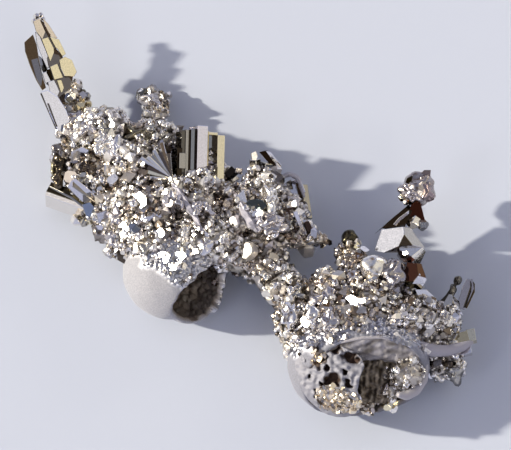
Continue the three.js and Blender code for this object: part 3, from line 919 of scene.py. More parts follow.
# %% Leans
GLINT = (0.62, -0.15)  # mirrors the sun to the camera
WARM = (-0.32, -0.06)  # mirrors the warm patch
FRONT = (0.0, 0.55)  # mirrors the horizon in front
RIGHT = (-0.55, 0.1)  # mirrors the sky on the right
LEFT = (0.3, 0.1)  # mirrors the sky on the left
STRAIGHT = (0.0, 0.0)  # mirrors the dark patch round the viewer
print("leans towards six parts of the sky")

# %% [markdown]
# ## The spire
#
# The tall spire is one stepped crystal, golden on its steps, with a dark blade along its left
# and a white plate at its foot. A single carved prism would be too plain. It is a core with
# flakes laid on it that rise towards the tip, and a few cut cubes where it joins the crust.

# %% Spire
SPIRE_FOOT, SPIRE_TIP, SPIRE_FACING = (-4.47, 3.06, 0.76), (-5.33, 5.17, 1.46), (0.1, -0.4, 0.9)
SPIRE_BASE, SPIRE_RISE = 0.84, 0.33  # mm: height where up = 3.2, and height gained per mm up


def spire_flake(tone, lean, lift, *outline):
    up = np.mean([point[1] for point in outline])
    return flake(outline, SPIRE_BASE + SPIRE_RISE * (up - 3.2) + lift, tone, lean, 0.14, SMOKE)


# The flakes' tones, beside their leans, paint part of what each face mirrors: painted reflection.
crystal_piece("spire", [
    rod(SPIRE_FOOT, SPIRE_TIP, 0.56, 0.2, SPIRE_FACING, "b4a48c", taper=0.4),
    spire_flake("c4b8a4", STRAIGHT, 0.2, (-5.67, 4.86), (-5.45, 5.06), (-5.35, 4.79), (-5.3, 4.46),
                (-5.22, 4.06), (-5.12, 3.71), (-5.22, 3.64), (-5.38, 3.91), (-5.53, 4.26),
                (-5.65, 4.61)),
    spire_flake("9c968e", RIGHT, 0.23, (-5.5, 4.41), (-5.33, 4.46), (-5.14, 3.76), (-5.22, 3.68),
                (-5.37, 3.95)),
    spire_flake("e4e6f8", WARM, 0.06, (-5.4, 5.13), (-5.28, 5.01), (-4.95, 4.26), (-5.1, 4.19),
                (-5.2, 4.41), (-5.35, 4.79)),
    spire_flake(GREY, RIGHT, -0.02, (-5.33, 4.54), (-5.17, 4.41), (-5.08, 4.16), (-5.18, 4.06),
                (-5.28, 4.24)),
    spire_flake(CREAM, WARM, 0.03, (-5.24, 4.93), (-5.07, 4.99), (-4.9, 4.66), (-4.84, 4.4),
                (-4.98, 4.26)),
    spire_flake("a4988c", STRAIGHT, 0.0, (-4.94, 4.72), (-4.84, 4.66), (-4.7, 4.5), (-4.72, 4.3),
                (-4.92, 4.26)),
    spire_flake(CREAM, WARM, 0.04, (-5.04, 5.0), (-4.8, 4.93), (-4.62, 4.56), (-4.72, 4.5),
                (-4.84, 4.68), (-4.89, 4.72)),
    spire_flake(CREAM, WARM, 0.1, (-4.8, 4.41), (-4.65, 4.5), (-4.47, 4.41), (-4.35, 4.11),
                (-4.42, 4.0), (-4.66, 4.0), (-4.76, 4.21)),
    spire_flake(CREAM, WARM, 0.08, (-5.03, 4.24), (-4.84, 4.33), (-4.78, 4.19), (-4.69, 3.97),
                (-4.92, 3.91)),
    spire_flake("a4988c", STRAIGHT, 0.0, (-4.7, 4.03), (-4.44, 4.06), (-4.48, 3.74), (-4.6, 3.46),
                (-4.75, 3.55)),
    spire_flake(CREAM, WARM, 0.06, (-4.86, 3.91), (-4.74, 3.92), (-4.65, 3.66), (-4.75, 3.58)),
    spire_flake(OLIVE, STRAIGHT, 0.0, (-5.13, 4.16), (-5.03, 4.19), (-4.93, 3.94), (-5.0, 3.86)),
    spire_flake("e4e6f8", WARM, 0.1, (-5.22, 4.08), (-5.12, 4.13), (-5.0, 3.89), (-5.05, 3.74),
                (-5.15, 3.84)),
    spire_flake("e4e6f8", WARM, 0.12, (-5.08, 3.86), (-4.92, 3.92), (-4.78, 3.62), (-4.86, 3.44),
                (-5.03, 3.6)),
    flake([(-5.25, 3.61), (-5.08, 3.66), (-4.83, 3.49), (-4.62, 3.16), (-4.50, 2.81), (-4.62, 2.58),
           (-4.83, 2.64), (-5.05, 3.11)],
          1.6, "eaecff", WARM, 0.45),
    flake([(-5.28, 3.58), (-5.20, 3.58), (-4.80, 2.69), (-4.88, 2.66)], 1.58, "8c8680", STRAIGHT,
          0.38),
    flake([(-5.10, 3.33), (-5.05, 3.33), (-4.83, 2.74), (-4.88, 2.74)], 1.64, "8c8680", STRAIGHT,
          0.28),
    flake([(-4.67, 2.81), (-4.47, 2.89), (-4.38, 2.71), (-4.53, 2.51), (-4.72, 2.56)], 1.45, LILAC,
          RIGHT, 0.3),
    *[cut_cube(seen(right, up, 1.18), size, size * 0.85, (up, right, size), tone)
      for right, up, size, tone in (
          (-4.5, 3.45, 0.3, GREY), (-4.28, 3.2, 0.3, STRAW), (-4.55, 3.15, 0.28, "c8beb0"),
          (-4.12, 3.5, 0.22, GREY), (-4.4, 2.95, 0.3, PALE), (-4.1, 3.05, 0.26, "c8beb0"))],
    spire_flake(CREAM, WARM, 0.08, (-4.65, 3.33), (-4.47, 3.37), (-4.33, 3.24), (-4.45, 3.1),
                (-4.62, 3.1)),
    spire_flake("e4d8cc", WARM, 0.02, (-5.45, 5.38), (-5.28, 5.46), (-5.08, 5.13), (-5.05, 4.96),
                (-5.22, 4.92), (-5.38, 5.13)),
    spire_flake("a4988c", STRAIGHT, 0.03, (-5.28, 5.41), (-5.2, 5.38), (-5.0, 5.04), (-5.05, 4.95)),
    spire_flake("e4d8cc", WARM, 0.02, (-5.22, 5.48), (-5.06, 5.31), (-4.9, 5.06), (-4.83, 4.95),
                (-5.0, 4.96), (-5.17, 5.31)),
    *[cut_cube(seen(right, up, 1.42), size, size * 0.87, (up, right, size), PALE)
      for right, up, size in ((-5.36, 5.5, 0.16), (-5.26, 5.53, 0.14), (-5.42, 5.38, 0.14),
                              (-5.2, 5.44, 0.12), (-5.3, 5.36, 0.13), (-5.14, 5.3, 0.12))],
    cut_cube(seen(-4.45, 3.62, 0.9), 0.3, 0.26, (0.4, 0.6, 0.2), GREY),
    cut_cube(seen(-4.35, 3.82, 0.94), 0.26, 0.22, (0.1, 0.3, 0.8), PALE),
    cut_cube(seen(-4.22, 3.56, 0.86), 0.24, 0.2, (0.9, 0.2, 0.5), SMOKE),
    cut_cube(seen(-4.3, 3.32, 0.86), 0.28, 0.24, (0.3, 0.8, 0.1), GREY),
    cut_cube(seen(-4.1, 3.3, 0.8), 0.24, 0.2, (0.6, 0.4, 0.7), STRAW),
])

# %% [markdown]
# ## The block
#
# A bundle of parallel columns leans back out of the crust, each column as wide as its growth
# step and with its own tone, a painted reflection of what that column mirrors. A box with painted
# stripes would have no steps at its head. Bars in shared axes keep the columns parallel while
# each has its own length and height.


# %% Block
def stepped(foot, tip, facing, rows):
    """Bars in shared axes. Each row is (along, along, across, across, height, height, tone)."""
    own = axes(foot, tip, facing)
    forms = []
    for a0, a1, c0, c1, h0, h1, tone in rows:
        profile = np.array([(c0, h0), (c1, h0), (c1, h1), (c0, h1)])
        local = np.stack([
            np.broadcast_to(profile[None, :, 0], (2, 4)),
            np.broadcast_to(profile[None, :, 1], (2, 4)),
            np.broadcast_to(np.array([[a0], [a1]]), (2, 4)),
        ], -1)
        forms.append(carried(np.array(foot) + local @ own, tone))
    return forms


BLOCK_FOOT, BLOCK_HEAD, BLOCK_FACING = (-1.33, 0.9, 1.25), (-1.3, 2.2, 1.72), (0.42, -0.3, 0.86)
BLOCK_BARS = (
    (0.0, 0.83, -0.66, -0.52, -0.18, 0.18, DARK),
    (0.3, 0.7, -0.62, -0.44, -0.1, 0.24, GREY),
    (0.0, 1.27, -0.54, -0.44, -0.23, 0.16, SMOKE),
    (0.0, 1.3, -0.44, -0.36, -0.23, 0.2, GREY),
    (0.0, 1.3, -0.36, -0.3, -0.23, 0.17, DARK),
    (0.0, 1.32, -0.3, -0.2, -0.23, 0.21, STEEL),
    (0.0, 1.34, -0.2, -0.16, -0.23, 0.18, SMOKE),
    (0.0, 1.41, -0.16, 0.12, -0.29, 0.29, "ece8f2"),
    (0.0, 1.3, 0.1, 0.18, -0.22, 0.22, STRAW),
    (0.0, 1.24, 0.16, 0.42, -0.2, 0.08, STEEL),
    (1.2, 1.28, 0.1, 0.44, -0.2, 0.18, CREAM),
    (0.0, 1.21, 0.4, 0.6, -0.27, 0.27, CREAM),
)
crystal_piece("block", stepped(BLOCK_FOOT, BLOCK_HEAD, BLOCK_FACING, BLOCK_BARS))

# %% [markdown]
# ## Crystals on the left
#
# A prism sticks out to the left, plates lie over it, and a fan of blades opens beside the block.
# The prism's outline is irregular, so it has its own profile. The fan's blades share one root
# and differ in angle and length, so a short table makes them all.

# %% Left crystals
LEFT_PRISM = np.array([
    (-0.31, -0.12), (-0.05, 0.14), (0.07, 0.17), (0.33, 0.06), (0.26, -0.25), (-0.25, -0.25)
])
# Each face takes the tone set for its direction: a painted reflection of what that side mirrors.
LEFT_PRISM_TONES = [
    (np.array(way) @ VIEW, tone) for way, tone in (
        ((-0.35, -0.65, 0.7), PALE), ((0.1, 0.15, 1.0), OLIVE), ((0.3, 0.55, 0.8), LILAC),
        ((0.9, -0.4, 0.1), STEEL), ((-0.9, 0.4, 0.1), PALE), ((0, 0, -1), GREY),
    )
]
FAN_ROOT = seen(-1.98, 1.46, 1.72)
FAN = ((98, 0.62, GREY), (106, 0.92, PALE), (114, 0.7, "8a8078"), (121, 0.82, PALE),
       (129, 0.74, GREY), (136, 0.8, PALE), (144, 0.92, LILAC), (152, 0.66, "6a5c52"),
       (160, 0.62, CREAM), (174, 0.55, PALE))


def fan_blade(angle, length, tone):
    """A blade from the fan's root at that angle in the view, rising towards its tip."""
    way = np.array([math.cos(math.radians(angle)), math.sin(math.radians(angle)), 0.0])
    tip = FAN_ROOT + (way * length) @ VIEW
    return rod(FAN_ROOT, tip, 0.055, 0.16, (0.1, -0.78, 0.62), tone, taper=2.0)


keep_clear([(-1.98, 1.4), (-2.1, 2.4), (-2.45, 2.3), (-2.7, 2.05), (-2.62, 1.7), (-2.5, 1.5)], 1.75)
crystal_piece("left_crystals", [
    rod(seen(-4.03, 0.68, 0.9), seen(-5.08, 1.05, 0.66), 1, 1, TOWARDS_CAMERA, LEFT_PRISM_TONES,
        LEFT_PRISM),
    flake([(-5.05, 1.27), (-4.45, 0.98), (-4.0, 0.62), (-4.06, 0.6), (-4.5, 0.94), (-5.05, 1.23)],
          1.14, GREY, (0, 0.2), 0.02),
    flake([(-4.5, 2.11), (-4.22, 2.24), (-4.05, 2.16), (-4.1, 1.91), (-4.3, 1.76), (-4.5, 1.84)],
          1.5, LILAC, FRONT, 0.2),
    flake([(-4.6, 1.24), (-4.5, 1.39), (-4.38, 1.45), (-3.95, 1.1), (-3.78, 0.9), (-3.9, 0.78),
           (-4.22, 0.86)], 1.46, LILAC, FRONT, 0.3),
    flake([(-4.48, 1.24), (-4.45, 1.27), (-3.88, 0.87), (-3.91, 0.84)], 1.49, GREY, RIGHT, 0.05),
    flake([(-3.87, 0.58), (-3.6, 0.66), (-3.47, 0.56), (-3.45, 0.36), (-3.7, 0.24), (-3.82, 0.34)],
          1.52, LILAC, (-0.3, 0.3)),
    flake([(-2.34, -0.42), (-2.18, -0.36), (-2.02, -0.46), (-2.08, -0.66), (-2.26, -0.7)], 1.97,
          PALE, GLINT),
    flake([(-1.96, -0.4), (-1.72, -0.36), (-1.6, -0.48), (-1.74, -0.62), (-1.92, -0.6)], 1.98,
          PALE, GLINT),
    flake([(-2.0, -0.68), (-1.84, -0.7), (-1.86, -0.84), (-2.02, -0.86), (-2.1, -0.76)], 1.95,
          PALE, GLINT),
    flake([(-1.5, -0.32), (-1.34, -0.3), (-1.3, -0.42), (-1.44, -0.46)], 1.97, PALE, GLINT),
    flake([(-4.23, 0.79), (-4.03, 0.86), (-3.85, 0.66), (-3.97, 0.49), (-4.12, 0.49)], 1.34,
          "8e98a8", FRONT, 0.2),
    flake([(-2.93, 1.02), (-2.78, 1.12), (-2.62, 1.0), (-2.62, 0.78), (-2.76, 0.7), (-2.9, 0.86)],
          1.98, "fff6dc", GLINT),
    flake([(-3.9, 0.28), (-3.7, 0.3), (-3.5, 0.1), (-3.75, 0.0)], 1.2, LILAC, FRONT),
    flake([(-3.65, 2.5), (-3.5, 2.55), (-3.3, 2.1), (-3.45, 2.0)], 1.75, PALE, LEFT),
    flake([(-3.35, 2.75), (-3.15, 2.85), (-3.2, 2.45), (-3.4, 2.3)], 1.65, LILAC, FRONT),
    flake([(-2.7, 0.45), (-2.2, 0.62), (-2.1, 0.52), (-2.6, 0.36)], 1.88, LILAC, RIGHT),
    cut_cube(seen(-4.35, 0.42, 0.72), 0.28, 0.26, (0.2, 0.7, 0.1)),
    cut_cube(seen(-4.17, 0.36, 0.75), 0.22, 0.2, (0.6, 0.2, 0.4), GREY),
    cut_cube(seen(-4.0, 0.42, 0.85), 0.24, 0.2, (0.1, 0.3, 0.9), CREAM),
    cut_cube(seen(-2.9, 0.18, 1.78), 0.32, 0.28, (0.5, 0.2, 0.1), STEEL),
    *[fan_blade(*blade) for blade in FAN],
])

# %% [markdown]
# ## The knob
#
# Behind the crust a short stalk of grains ends in a hooked knob, dark where its inside shows.
# A sculpted hook would be too smooth. It is a cluster of cut cubes with a few flakes, and since
# grains cover it later, it needs no more.

# %% Knob
crystal_piece("knob", [
    cut_cube(seen(-2.68, 3.52, 0.24), 0.36, 0.32, (0.3, 0.4, 0.2), SMOKE),
    cut_cube(seen(-2.48, 3.62, 0.26), 0.32, 0.28, (0.6, 0.1, 0.5), GREY),
    cut_cube(seen(-2.3, 3.42, 0.3), 0.28, 0.24, (0.7, 0.1, 0.4), "d8d2ca"),
    cut_cube(seen(-2.2, 3.1, 0.36), 0.26, 0.22, (0.2, 0.5, 0.7), "c8beb0"),
    cut_cube(seen(-2.5, 2.98, 0.45), 0.3, 0.26, (0.4, 0.3, 0.1), PALE),
    flake([(-2.86, 3.4), (-2.84, 3.62), (-2.72, 3.72), (-2.68, 3.66), (-2.78, 3.56), (-2.78, 3.36)],
          0.36, PALE, LEFT, 0.1),
    flake([(-2.7, 3.42), (-2.7, 3.58), (-2.6, 3.6), (-2.55, 3.4), (-2.62, 3.3)], 0.46, SMOKE),
    flake([(-2.48, 3.18), (-2.4, 3.36), (-2.22, 3.42), (-2.28, 3.26)], 0.5, BROWN),
    flake([(-2.6, 3.54), (-2.58, 3.62), (-2.5, 3.64), (-2.52, 3.56)], 0.5, PALE, GLINT, 0.1),
    flake([(-2.15, 3.3), (-2.1, 3.45), (-2.02, 3.35), (-2.04, 3.1), (-2.12, 3.15)], 0.44, PALE,
          FRONT, 0.1),
])

# %% [markdown]
# ## Crystals in the centre
#
# The centre carries small prisms, a dark-sided blade that points up and the plates of a cavity.
# They are rods where their length shows and flakes where only one face does.

# %% Centre crystals
crystal_piece("centre_crystals", [
    rod((0.12, 0.95, 1.2), (0.1, 1.4, 1.55), 0.22, 0.2, LEFT_UP, GREY),
    rod((0.4, 0.9, 1.15), (0.48, 1.35, 1.45), 0.4, 0.3, RIGHT_UP, SMOKE),
    rod((0.75, 0.75, 0.9), (1.3, 0.95, 0.9), 0.4, 0.26, UP, LILAC),
    rod((1.28, 1.0, 0.85), (1.4, 0.1, 0.75), 0.2, 0.26, RIGHT_UP, GREY),
    rod((1.15, -0.4, 0.86), (2.0, -0.6, 0.86), 0.4, 0.3, UP, GREY, taper=0.0),
    rod((-0.6, 1.08, 1.2), (-0.4, 1.26, 1.25), 0.2, 0.2, LEFT_UP, DARK),
    flake([(-0.42, 1.6), (-0.38, 1.72), (-0.2, 1.7), (-0.23, 1.54)], 1.56, LILAC, FRONT, 0.08),
    flake([(0.0, 2.08), (0.12, 2.14), (0.17, 2.0), (0.12, 1.86), (0.02, 1.9)], 1.62, PALE,
          (0.5, -0.1)),
    flake([(0.2, 2.11), (0.4, 2.16), (0.68, 1.71), (0.6, 1.56), (0.42, 1.86)], 1.58, "5a4c42"),
    flake([(0.35, 2.15), (0.48, 2.12), (0.78, 1.76), (0.68, 1.68)], 1.62, PALE, FRONT),
    flake([(1.1, 1.36), (1.2, 1.32), (1.31, 0.96), (1.2, 0.98)], 1.1, "6a5e58"),
    flake([(0.88, 1.36), (1.0, 1.42), (1.1, 1.0), (0.95, 1.05)], 1.06, GREY, FRONT),
    flake([(0.72, 1.01), (0.82, 0.85), (1.12, 0.91), (1.14, 0.76), (0.8, 0.67), (0.63, 0.94)],
          1.48, PALE, GLINT),
    flake([(0.84, 0.74), (1.06, 0.78), (1.08, 0.54), (0.9, 0.5)], 1.42, "6e5a50", (0.1, 0.1)),
    flake([(1.05, 0.6), (1.15, 0.64), (1.42, 0.03), (1.3, 0.0)], 1.4, LILAC, FRONT),
    flake([(1.32, 0.36), (1.45, 0.39), (1.6, 0.06), (1.53, 0.01), (1.4, 0.13)], 1.22, "6a5850",
          (0.1, 0.1)),
    flake([(-0.12, 0.84), (-0.04, 0.92), (0.12, 0.94), (0.3, 0.9), (0.4, 0.8), (0.32, 0.68),
           (0.1, 0.63), (-0.06, 0.7)], 1.66, "7c888c", (0.05, 0.12), 0.3),
    flake([(-0.38, 1.01), (-0.17, 1.18), (-0.08, 0.84), (-0.25, 0.79)], 1.74, PALE, (-0.3, 0.2)),
    flake([(-0.12, 0.62), (0.2, 0.66), (0.42, 0.56), (0.2, 0.42), (0.0, 0.4)], 1.66, PALE,
          (0, 0.3)),
])

# %% [markdown]
# ## Ridges
#
# Pale satin ridges wind over the crust: the frame of the cavity, the arch, and a ridge on the
# left. Flat plates looked like scraps of paper there. A strand with few sides and some waves
# is narrow, uneven and facetted, as a ridge that grew along a seam is.

# %% Ridges
RIDGES = (
    # (right, up, height) points and widths there, in mm
    (((-0.38, 1.04, 1.62), (-0.3, 0.84, 1.68), (-0.14, 0.54, 1.7), (0.02, 0.3, 1.66),
      (0.14, 0.12, 1.6)),
     (0.06, 0.1, 0.13, 0.12, 0.05)),
    (((0.0, 0.36, 1.66), (0.22, 0.46, 1.66), (0.4, 0.58, 1.62)), (0.08, 0.09, 0.05)),
    (((0.72, 1.44, 1.2), (0.88, 1.54, 1.22), (1.08, 1.52, 1.2), (1.22, 1.36, 1.16),
      (1.33, 0.98, 1.1)),
     (0.05, 0.08, 0.08, 0.07, 0.04)),
    (((-1.95, 1.3, 1.9), (-1.82, 1.12, 1.94), (-1.6, 0.8, 1.94), (-1.42, 0.48, 1.93),
      (-1.2, 0.1, 1.9)),
     (0.06, 0.12, 0.11, 0.1, 0.05)),
)
SLIM = 0.8  # a ridge's share of the width that is kept clear for it
forms = []
for path, widths in RIDGES:
    edge = np.array(path)[:, :2]
    half = np.array(widths)[:, None] * (0.9, 0.5)
    keep_clear(np.vstack([edge - half, (edge + half)[::-1]]), path[1][2])
    slim = [SLIM * width for width in widths]
    forms.append(strand([seen(*place) for place in path], slim, "c6c3cc", 11, 6, 0.3))
crystal_piece("ridges", forms, satin, bevel=0.0)

# %% [markdown]
# ## Crystals on the right
#
# Here stand the clearest crystals: a white cube with cut corners, a smaller one under it, a
# rust-brown one, and an arm of dark bars that carries a ball of crystals. The cubes are given
# face by face, because each face has its own tilt and its own tone, and that tone is a painted
# reflection of what the face mirrors; a turned cube would have neither.

# %% Faces of the cut crystals
CUT_CUBE = (
    # direction (right, up, near), distance from its middle, tone, a painted reflection of what the
    # face mirrors
    ((-0.62, 0.2, 0.76), 0.36, "c0c3d2"), ((0.45, 0.3, 0.84), 0.51, "c2c5d4"),
    ((0.03, -0.85, 0.52), 0.294, "dcd6d0"), ((-0.05, -0.1, 1.0), 0.455, "8e877a"),
    ((-0.93, 0.31, -0.2), 0.54, GREY), ((0.03, 0.98, -0.2), 0.32, PALE),
    ((0.75, 0.58, -0.3), 0.3, GREY), ((0.86, -0.4, -0.3), 0.46, GREY),
    ((0.0, -0.97, -0.2), 0.19, GREY), ((0.0, 0.0, -1.0), 0.35, GREY),
)
LOWER_CUBE = (
    ((0.0, 0.3, 0.95), 0.26, PALE), ((-0.4, -0.45, 0.8), 0.26, "d8c8c0"),
    ((0.5, -0.4, 0.75), 0.25, PALE), ((0.9, -0.4, -0.1), 0.3, GREY),
    ((-0.8, -0.55, 0.1), 0.28, BROWN),
    ((0.0, 1.0, 0.0), 0.2, PALE), ((0.1, -0.9, 0.3), 0.34, GREY), ((-0.9, 0.3, 0.0), 0.32, BROWN),
    ((0.8, 0.5, 0.0), 0.34, GREY), ((0.0, 0.0, -1.0), 0.25, GREY),
)
RUSTY = (
    ((-0.35, 0.25, 0.9), 0.34, "50342a"), ((0.5, 0.3, 0.8), 0.38, "6a5042"),
    ((0.35, -0.35, 0.87), 0.36, PALE),
    ((-0.2, -0.75, 0.62), 0.32, OLIVE), ((-0.9, 0.3, 0.1), 0.3, DARK),
    ((-0.85, -0.5, 0.1), 0.3, DARK),
    ((0.9, 0.3, 0.0), 0.28, SMOKE), ((0.85, -0.5, 0.0), 0.3, DARK), ((0.1, 1.0, 0.0), 0.36, RUST),
    ((0.0, -1.0, 0.0), 0.38, DARK), ((0.0, 0.0, -1.0), 0.3, DARK),
)
print("faces:", [len(faces) for faces in (CUT_CUBE, LOWER_CUBE, RUSTY)])

# %% Right crystals
crystal_piece("right_crystals", [
    crystal(seen(3.73, -0.17, 1.1), CUT_CUBE),
    crystal(seen(4.0, -0.44, 1.1), LOWER_CUBE),
    flake([(3.78, -0.38), (3.92, -0.36), (3.93, -0.45), (3.8, -0.47)], 1.42, PALE, GLINT, 0.1),
    crystal(seen(4.07, -1.03, 1.32), RUSTY),
    flake([(4.03, -1.19), (4.22, -0.92), (4.35, -1.19)], 1.62, PALE, RIGHT, 0.12),
    flake([(4.1, -1.33), (4.38, -1.33), (4.58, -1.5), (4.53, -1.61), (4.2, -1.54)], 1.5, PALE,
          RIGHT, 0.3),
    rod((3.35, -0.3, 1.05), (4.0, 0.2, 1.2), 0.16, 0.24, FORWARD_UP, INK, taper=1.6),
    flake([(3.08, 0.05), (3.5, 0.43), (3.85, 0.72), (4.03, 0.64), (3.83, 0.2), (3.27, 0.2)], 1.3,
          "6a6258", (0.05, 0.05), 0.2, DARK),
    flake([(3.55, 0.3), (3.7, 0.47), (3.95, 0.65), (3.95, 0.57), (3.72, 0.38), (3.62, 0.26)], 1.42,
          LILAC, FRONT, 0.04),
    flake([(4.0, 0.78), (4.15, 0.88), (4.25, 0.8), (4.36, 0.36), (4.12, 0.44), (3.9, 0.5)], 1.42,
          RUST, (0.1, 0.1), 0.35, BROWN),
    cut_cube(seen(4.08, 0.36, 1.2), 0.34, 0.3, (0.2, 0.4, 0.3), PALE),
    cut_cube(seen(4.28, 0.3, 1.2), 0.28, 0.24, (0.6, 0.1, 0.8), GREY),
    flake([(3.8, 1.18), (3.9, 1.46), (4.04, 1.52), (4.0, 1.2), (3.92, 1.07)], 1.62, OLIVE,
          (0.1, 0), 0.2),
    flake([(4.17, 1.51), (4.33, 1.66), (4.50, 1.66), (4.47, 1.41), (4.33, 1.39)], 1.62, "a08c80",
          (0.1, 0.2), 0.3),
    flake([(4.44, 1.12), (4.56, 1.08), (4.58, 0.92), (4.46, 0.86)], 1.45, RUST, (0, 0), 0.15),
    cut_cube(seen(3.76, 1.18, 1.35), 0.17, 0.14, (0.2, 0.1, 0.4)),
    cut_cube(seen(3.78, 0.97, 1.35), 0.18, 0.15, (0.5, 0.6, 0.2), CREAM),
    cut_cube(seen(3.88, 0.86, 1.32), 0.16, 0.13, (0.9, 0.2, 0.3)),
    flake([(2.56, -0.28), (2.66, -0.12), (2.72, -0.2), (2.66, -0.34)], 1.22, CREAM, (-0.2, 0), 0.1),
    flake([(2.36, -1.52), (2.5, -1.46), (2.68, -1.56), (2.84, -1.54), (2.87, -1.64), (2.66, -1.74),
           (2.48, -1.7)], 2.0, PALE, GLINT),
    octahedron(seen(5.02, -1.66, 1.02), 0.22, (0.5, 0.3, 0.1), PALE),
    flake([(4.90, -1.99), (4.80, -1.69), (4.95, -1.44), (5.05, -1.49), (5.03, -1.74)], 1.28, GREY,
          RIGHT, 0.3),
    flake([(5.22, -1.81), (5.20, -1.54), (5.30, -1.24), (5.40, -1.06), (5.53, -1.06), (5.58, -1.29),
           (5.45, -1.61), (5.33, -1.84)],
          0.95, "aaa4a2", (-0.5, 0.1), 0.05, SMOKE),
    flake([(5.35, -1.79), (5.47, -1.54), (5.58, -1.29), (5.55, -1.11), (5.60, -1.19), (5.60, -1.39),
           (5.40, -1.81)],
          0.98, "9a9284", STRAIGHT, 0.05, SMOKE),
    rod((4.95, -2.55, 0.8), (5.1, -2.2, 0.85), 0.3, 0.14, RIGHT_UP, GREY),
    rod(seen(4.75, -2.98, 0.75), seen(5.5, -2.8, 0.88), 0.3, 0.2, UP, LILAC),
    rod(seen(5.1, -2.62, 0.85), seen(5.45, -2.52, 0.92), 0.3, 0.2, UP, STRAW),
    rod(seen(5.4, -2.52, 0.9), seen(5.62, -2.48, 0.93), 0.32, 0.22, UP, CREAM),
    rod((4.6, -3.6, 0.78), (5.45, -3.5, 0.82), 0.2, 0.14, UP, PALE),
    rod((4.6, -3.75, 0.72), seen(5.2, -3.35, 0.62), 0.24, 0.2, UP, PALE, taper=0.0),
    rod((4.5, -3.8, 0.7), seen(4.74, -3.66, 0.6), 0.26, 0.22, UP, LILAC, taper=0.0),
    rod((4.7, -3.8, 0.72), seen(5.0, -3.5, 0.6), 0.2, 0.18, UP, PALE, taper=0.0),
    flake([(4.94, -3.1), (5.14, -3.15), (5.1, -3.24), (4.96, -3.2)], 0.98, INK, (0, 0), 0.06),
])

# %% [markdown]
# ## Glassy lumps
#
# Between the crystals sit lumps that never grew faces, as smooth as glass beads. Each is a ball
# pushed in and out by waves. They are larger than the grains and calm the glitter around them.

# %% Glassy lumps
GLASSY = (
    # centre, radii, roughness and size of its waves, tone
    (seen(4.16, 1.18, 1.35), (0.42, 0.42, 0.36), 0.05, 0.4, "b0a8a6"),
    (seen(4.3, 1.36, 1.5), (0.22, 0.24, 0.2), 0.05, 0.3, "a49894"),
    (seen(3.98, 1.1, 1.52), (0.2, 0.24, 0.2), 0.05, 0.3, "c4bab8"),
    (seen(4.38, 1.06, 1.42), (0.2, 0.22, 0.2), 0.05, 0.3, "b09c98"),
    (seen(2.47, -0.06, 0.98), (0.22, 0.22, 0.2), 0.03, 0.3, "4e483a"),
    (seen(-3.72, 2.32, 1.66), (0.2, 0.32, 0.2), 0.07, 0.25, PALE),
    (seen(-3.36, 2.1, 1.72), (0.16, 0.32, 0.16), 0.07, 0.22, "e8e6ea"),
    (seen(-3.95, 2.62, 1.52), (0.26, 0.2, 0.16), 0.07, 0.25, PALE),
    (seen(-2.87, 2.52, 1.56), (0.28, 0.2, 0.14), 0.07, 0.25, "8a8270"),
    (seen(-4.8, 1.8, 1.06), (0.15, 0.3, 0.18), 0.05, 0.25, "4e463c"),
    (seen(-4.83, 1.45, 0.98), (0.14, 0.22, 0.16), 0.05, 0.25, "6a6052"),
    (seen(-4.95, 1.72, 0.95), (0.06, 0.3, 0.12), 0.03, 0.3, "b0a684"),
    (seen(-4.1, 1.68, 1.5), (0.16, 0.22, 0.14), 0.06, 0.22, "5a5048"),
    (seen(1.95, -1.65, 1.62), (0.16, 0.34, 0.16), 0.06, 0.25, "c8c2c4"),
    (seen(1.72, -2.2, 1.84), (0.14, 0.26, 0.14), 0.06, 0.25, "b8b2b4"),
    (seen(3.07, -0.8, 1.55), (0.34, 0.33, 0.32), 0.03, 0.5, PALE),
    (seen(3.56, -1.02, 1.5), (0.3, 0.52, 0.38), 0.06, 0.4, "a8a2a2"),
    (seen(5.03, -1.33, 0.95), (0.09, 0.14, 0.1), 0.04, 0.3, SMOKE),
    (seen(5.17, -1.12, 0.98), (0.1, 0.13, 0.1), 0.04, 0.3, SMOKE),
    ((3.95, -4.25, 0.6), (0.32, 0.36, 0.28), 0.03, 0.5, PALE),
    (seen(0.95, -1.95, 1.56), (0.2, 0.36, 0.2), 0.06, 0.3, LILAC),
    (seen(1.55, -2.1, 1.86), (0.15, 0.26, 0.16), 0.06, 0.3, LILAC),
    (seen(1.95, -2.14, 1.95), (0.2, 0.3, 0.18), 0.06, 0.3, "cfc8c6"),
    (seen(0.55, 0.3, 1.6), (0.3, 0.24, 0.2), 0.08, 0.25, "cfc8c6"),
    (seen(0.5, 0.95, 1.6), (0.16, 0.34, 0.18), 0.08, 0.25, PALE),
)
round_piece("glassy_lumps", [
    ball(at, np.array(radii), 40, 26, rough, size, tone) for at, radii, rough, size, tone in GLASSY
], soft_faces)

# %% [markdown]
# ## Forms of the grains
#
# Thousands of crystals 0.05 to 0.3 mm across cover the crust. A particle system could scatter
# them, but it isn't kept when the model is exported. So three small forms are repeated as plain
# arrays, each turned and stretched at random.


# %% Grain forms
def template(form):
    """A form's corners and its faces as triangles, fanned from each face's first corner."""
    points, faces, _ = form
    fans = [(f[0], f[i], f[i + 1]) for f in faces for i in range(1, len(f) - 1)]
    points, index = np.unique(np.round(points, 6), axis=0, return_inverse=True)
    fans = index.ravel()[np.array(fans)]
    real = (fans[:, 0] != fans[:, 1]) & (fans[:, 1] != fans[:, 2]) & (fans[:, 2] != fans[:, 0])
    return points, fans[real]


ORIGIN, UNTURNED = (0, 0, 0), (0, 0, 0)
TEMPLATES = (
    template(cut_cube(ORIGIN, 1.0, 1.0, UNTURNED)),
    template(cut_cube(ORIGIN, 1.0, 1.28, UNTURNED)),
    template(octahedron(ORIGIN, 0.72, UNTURNED)),
)


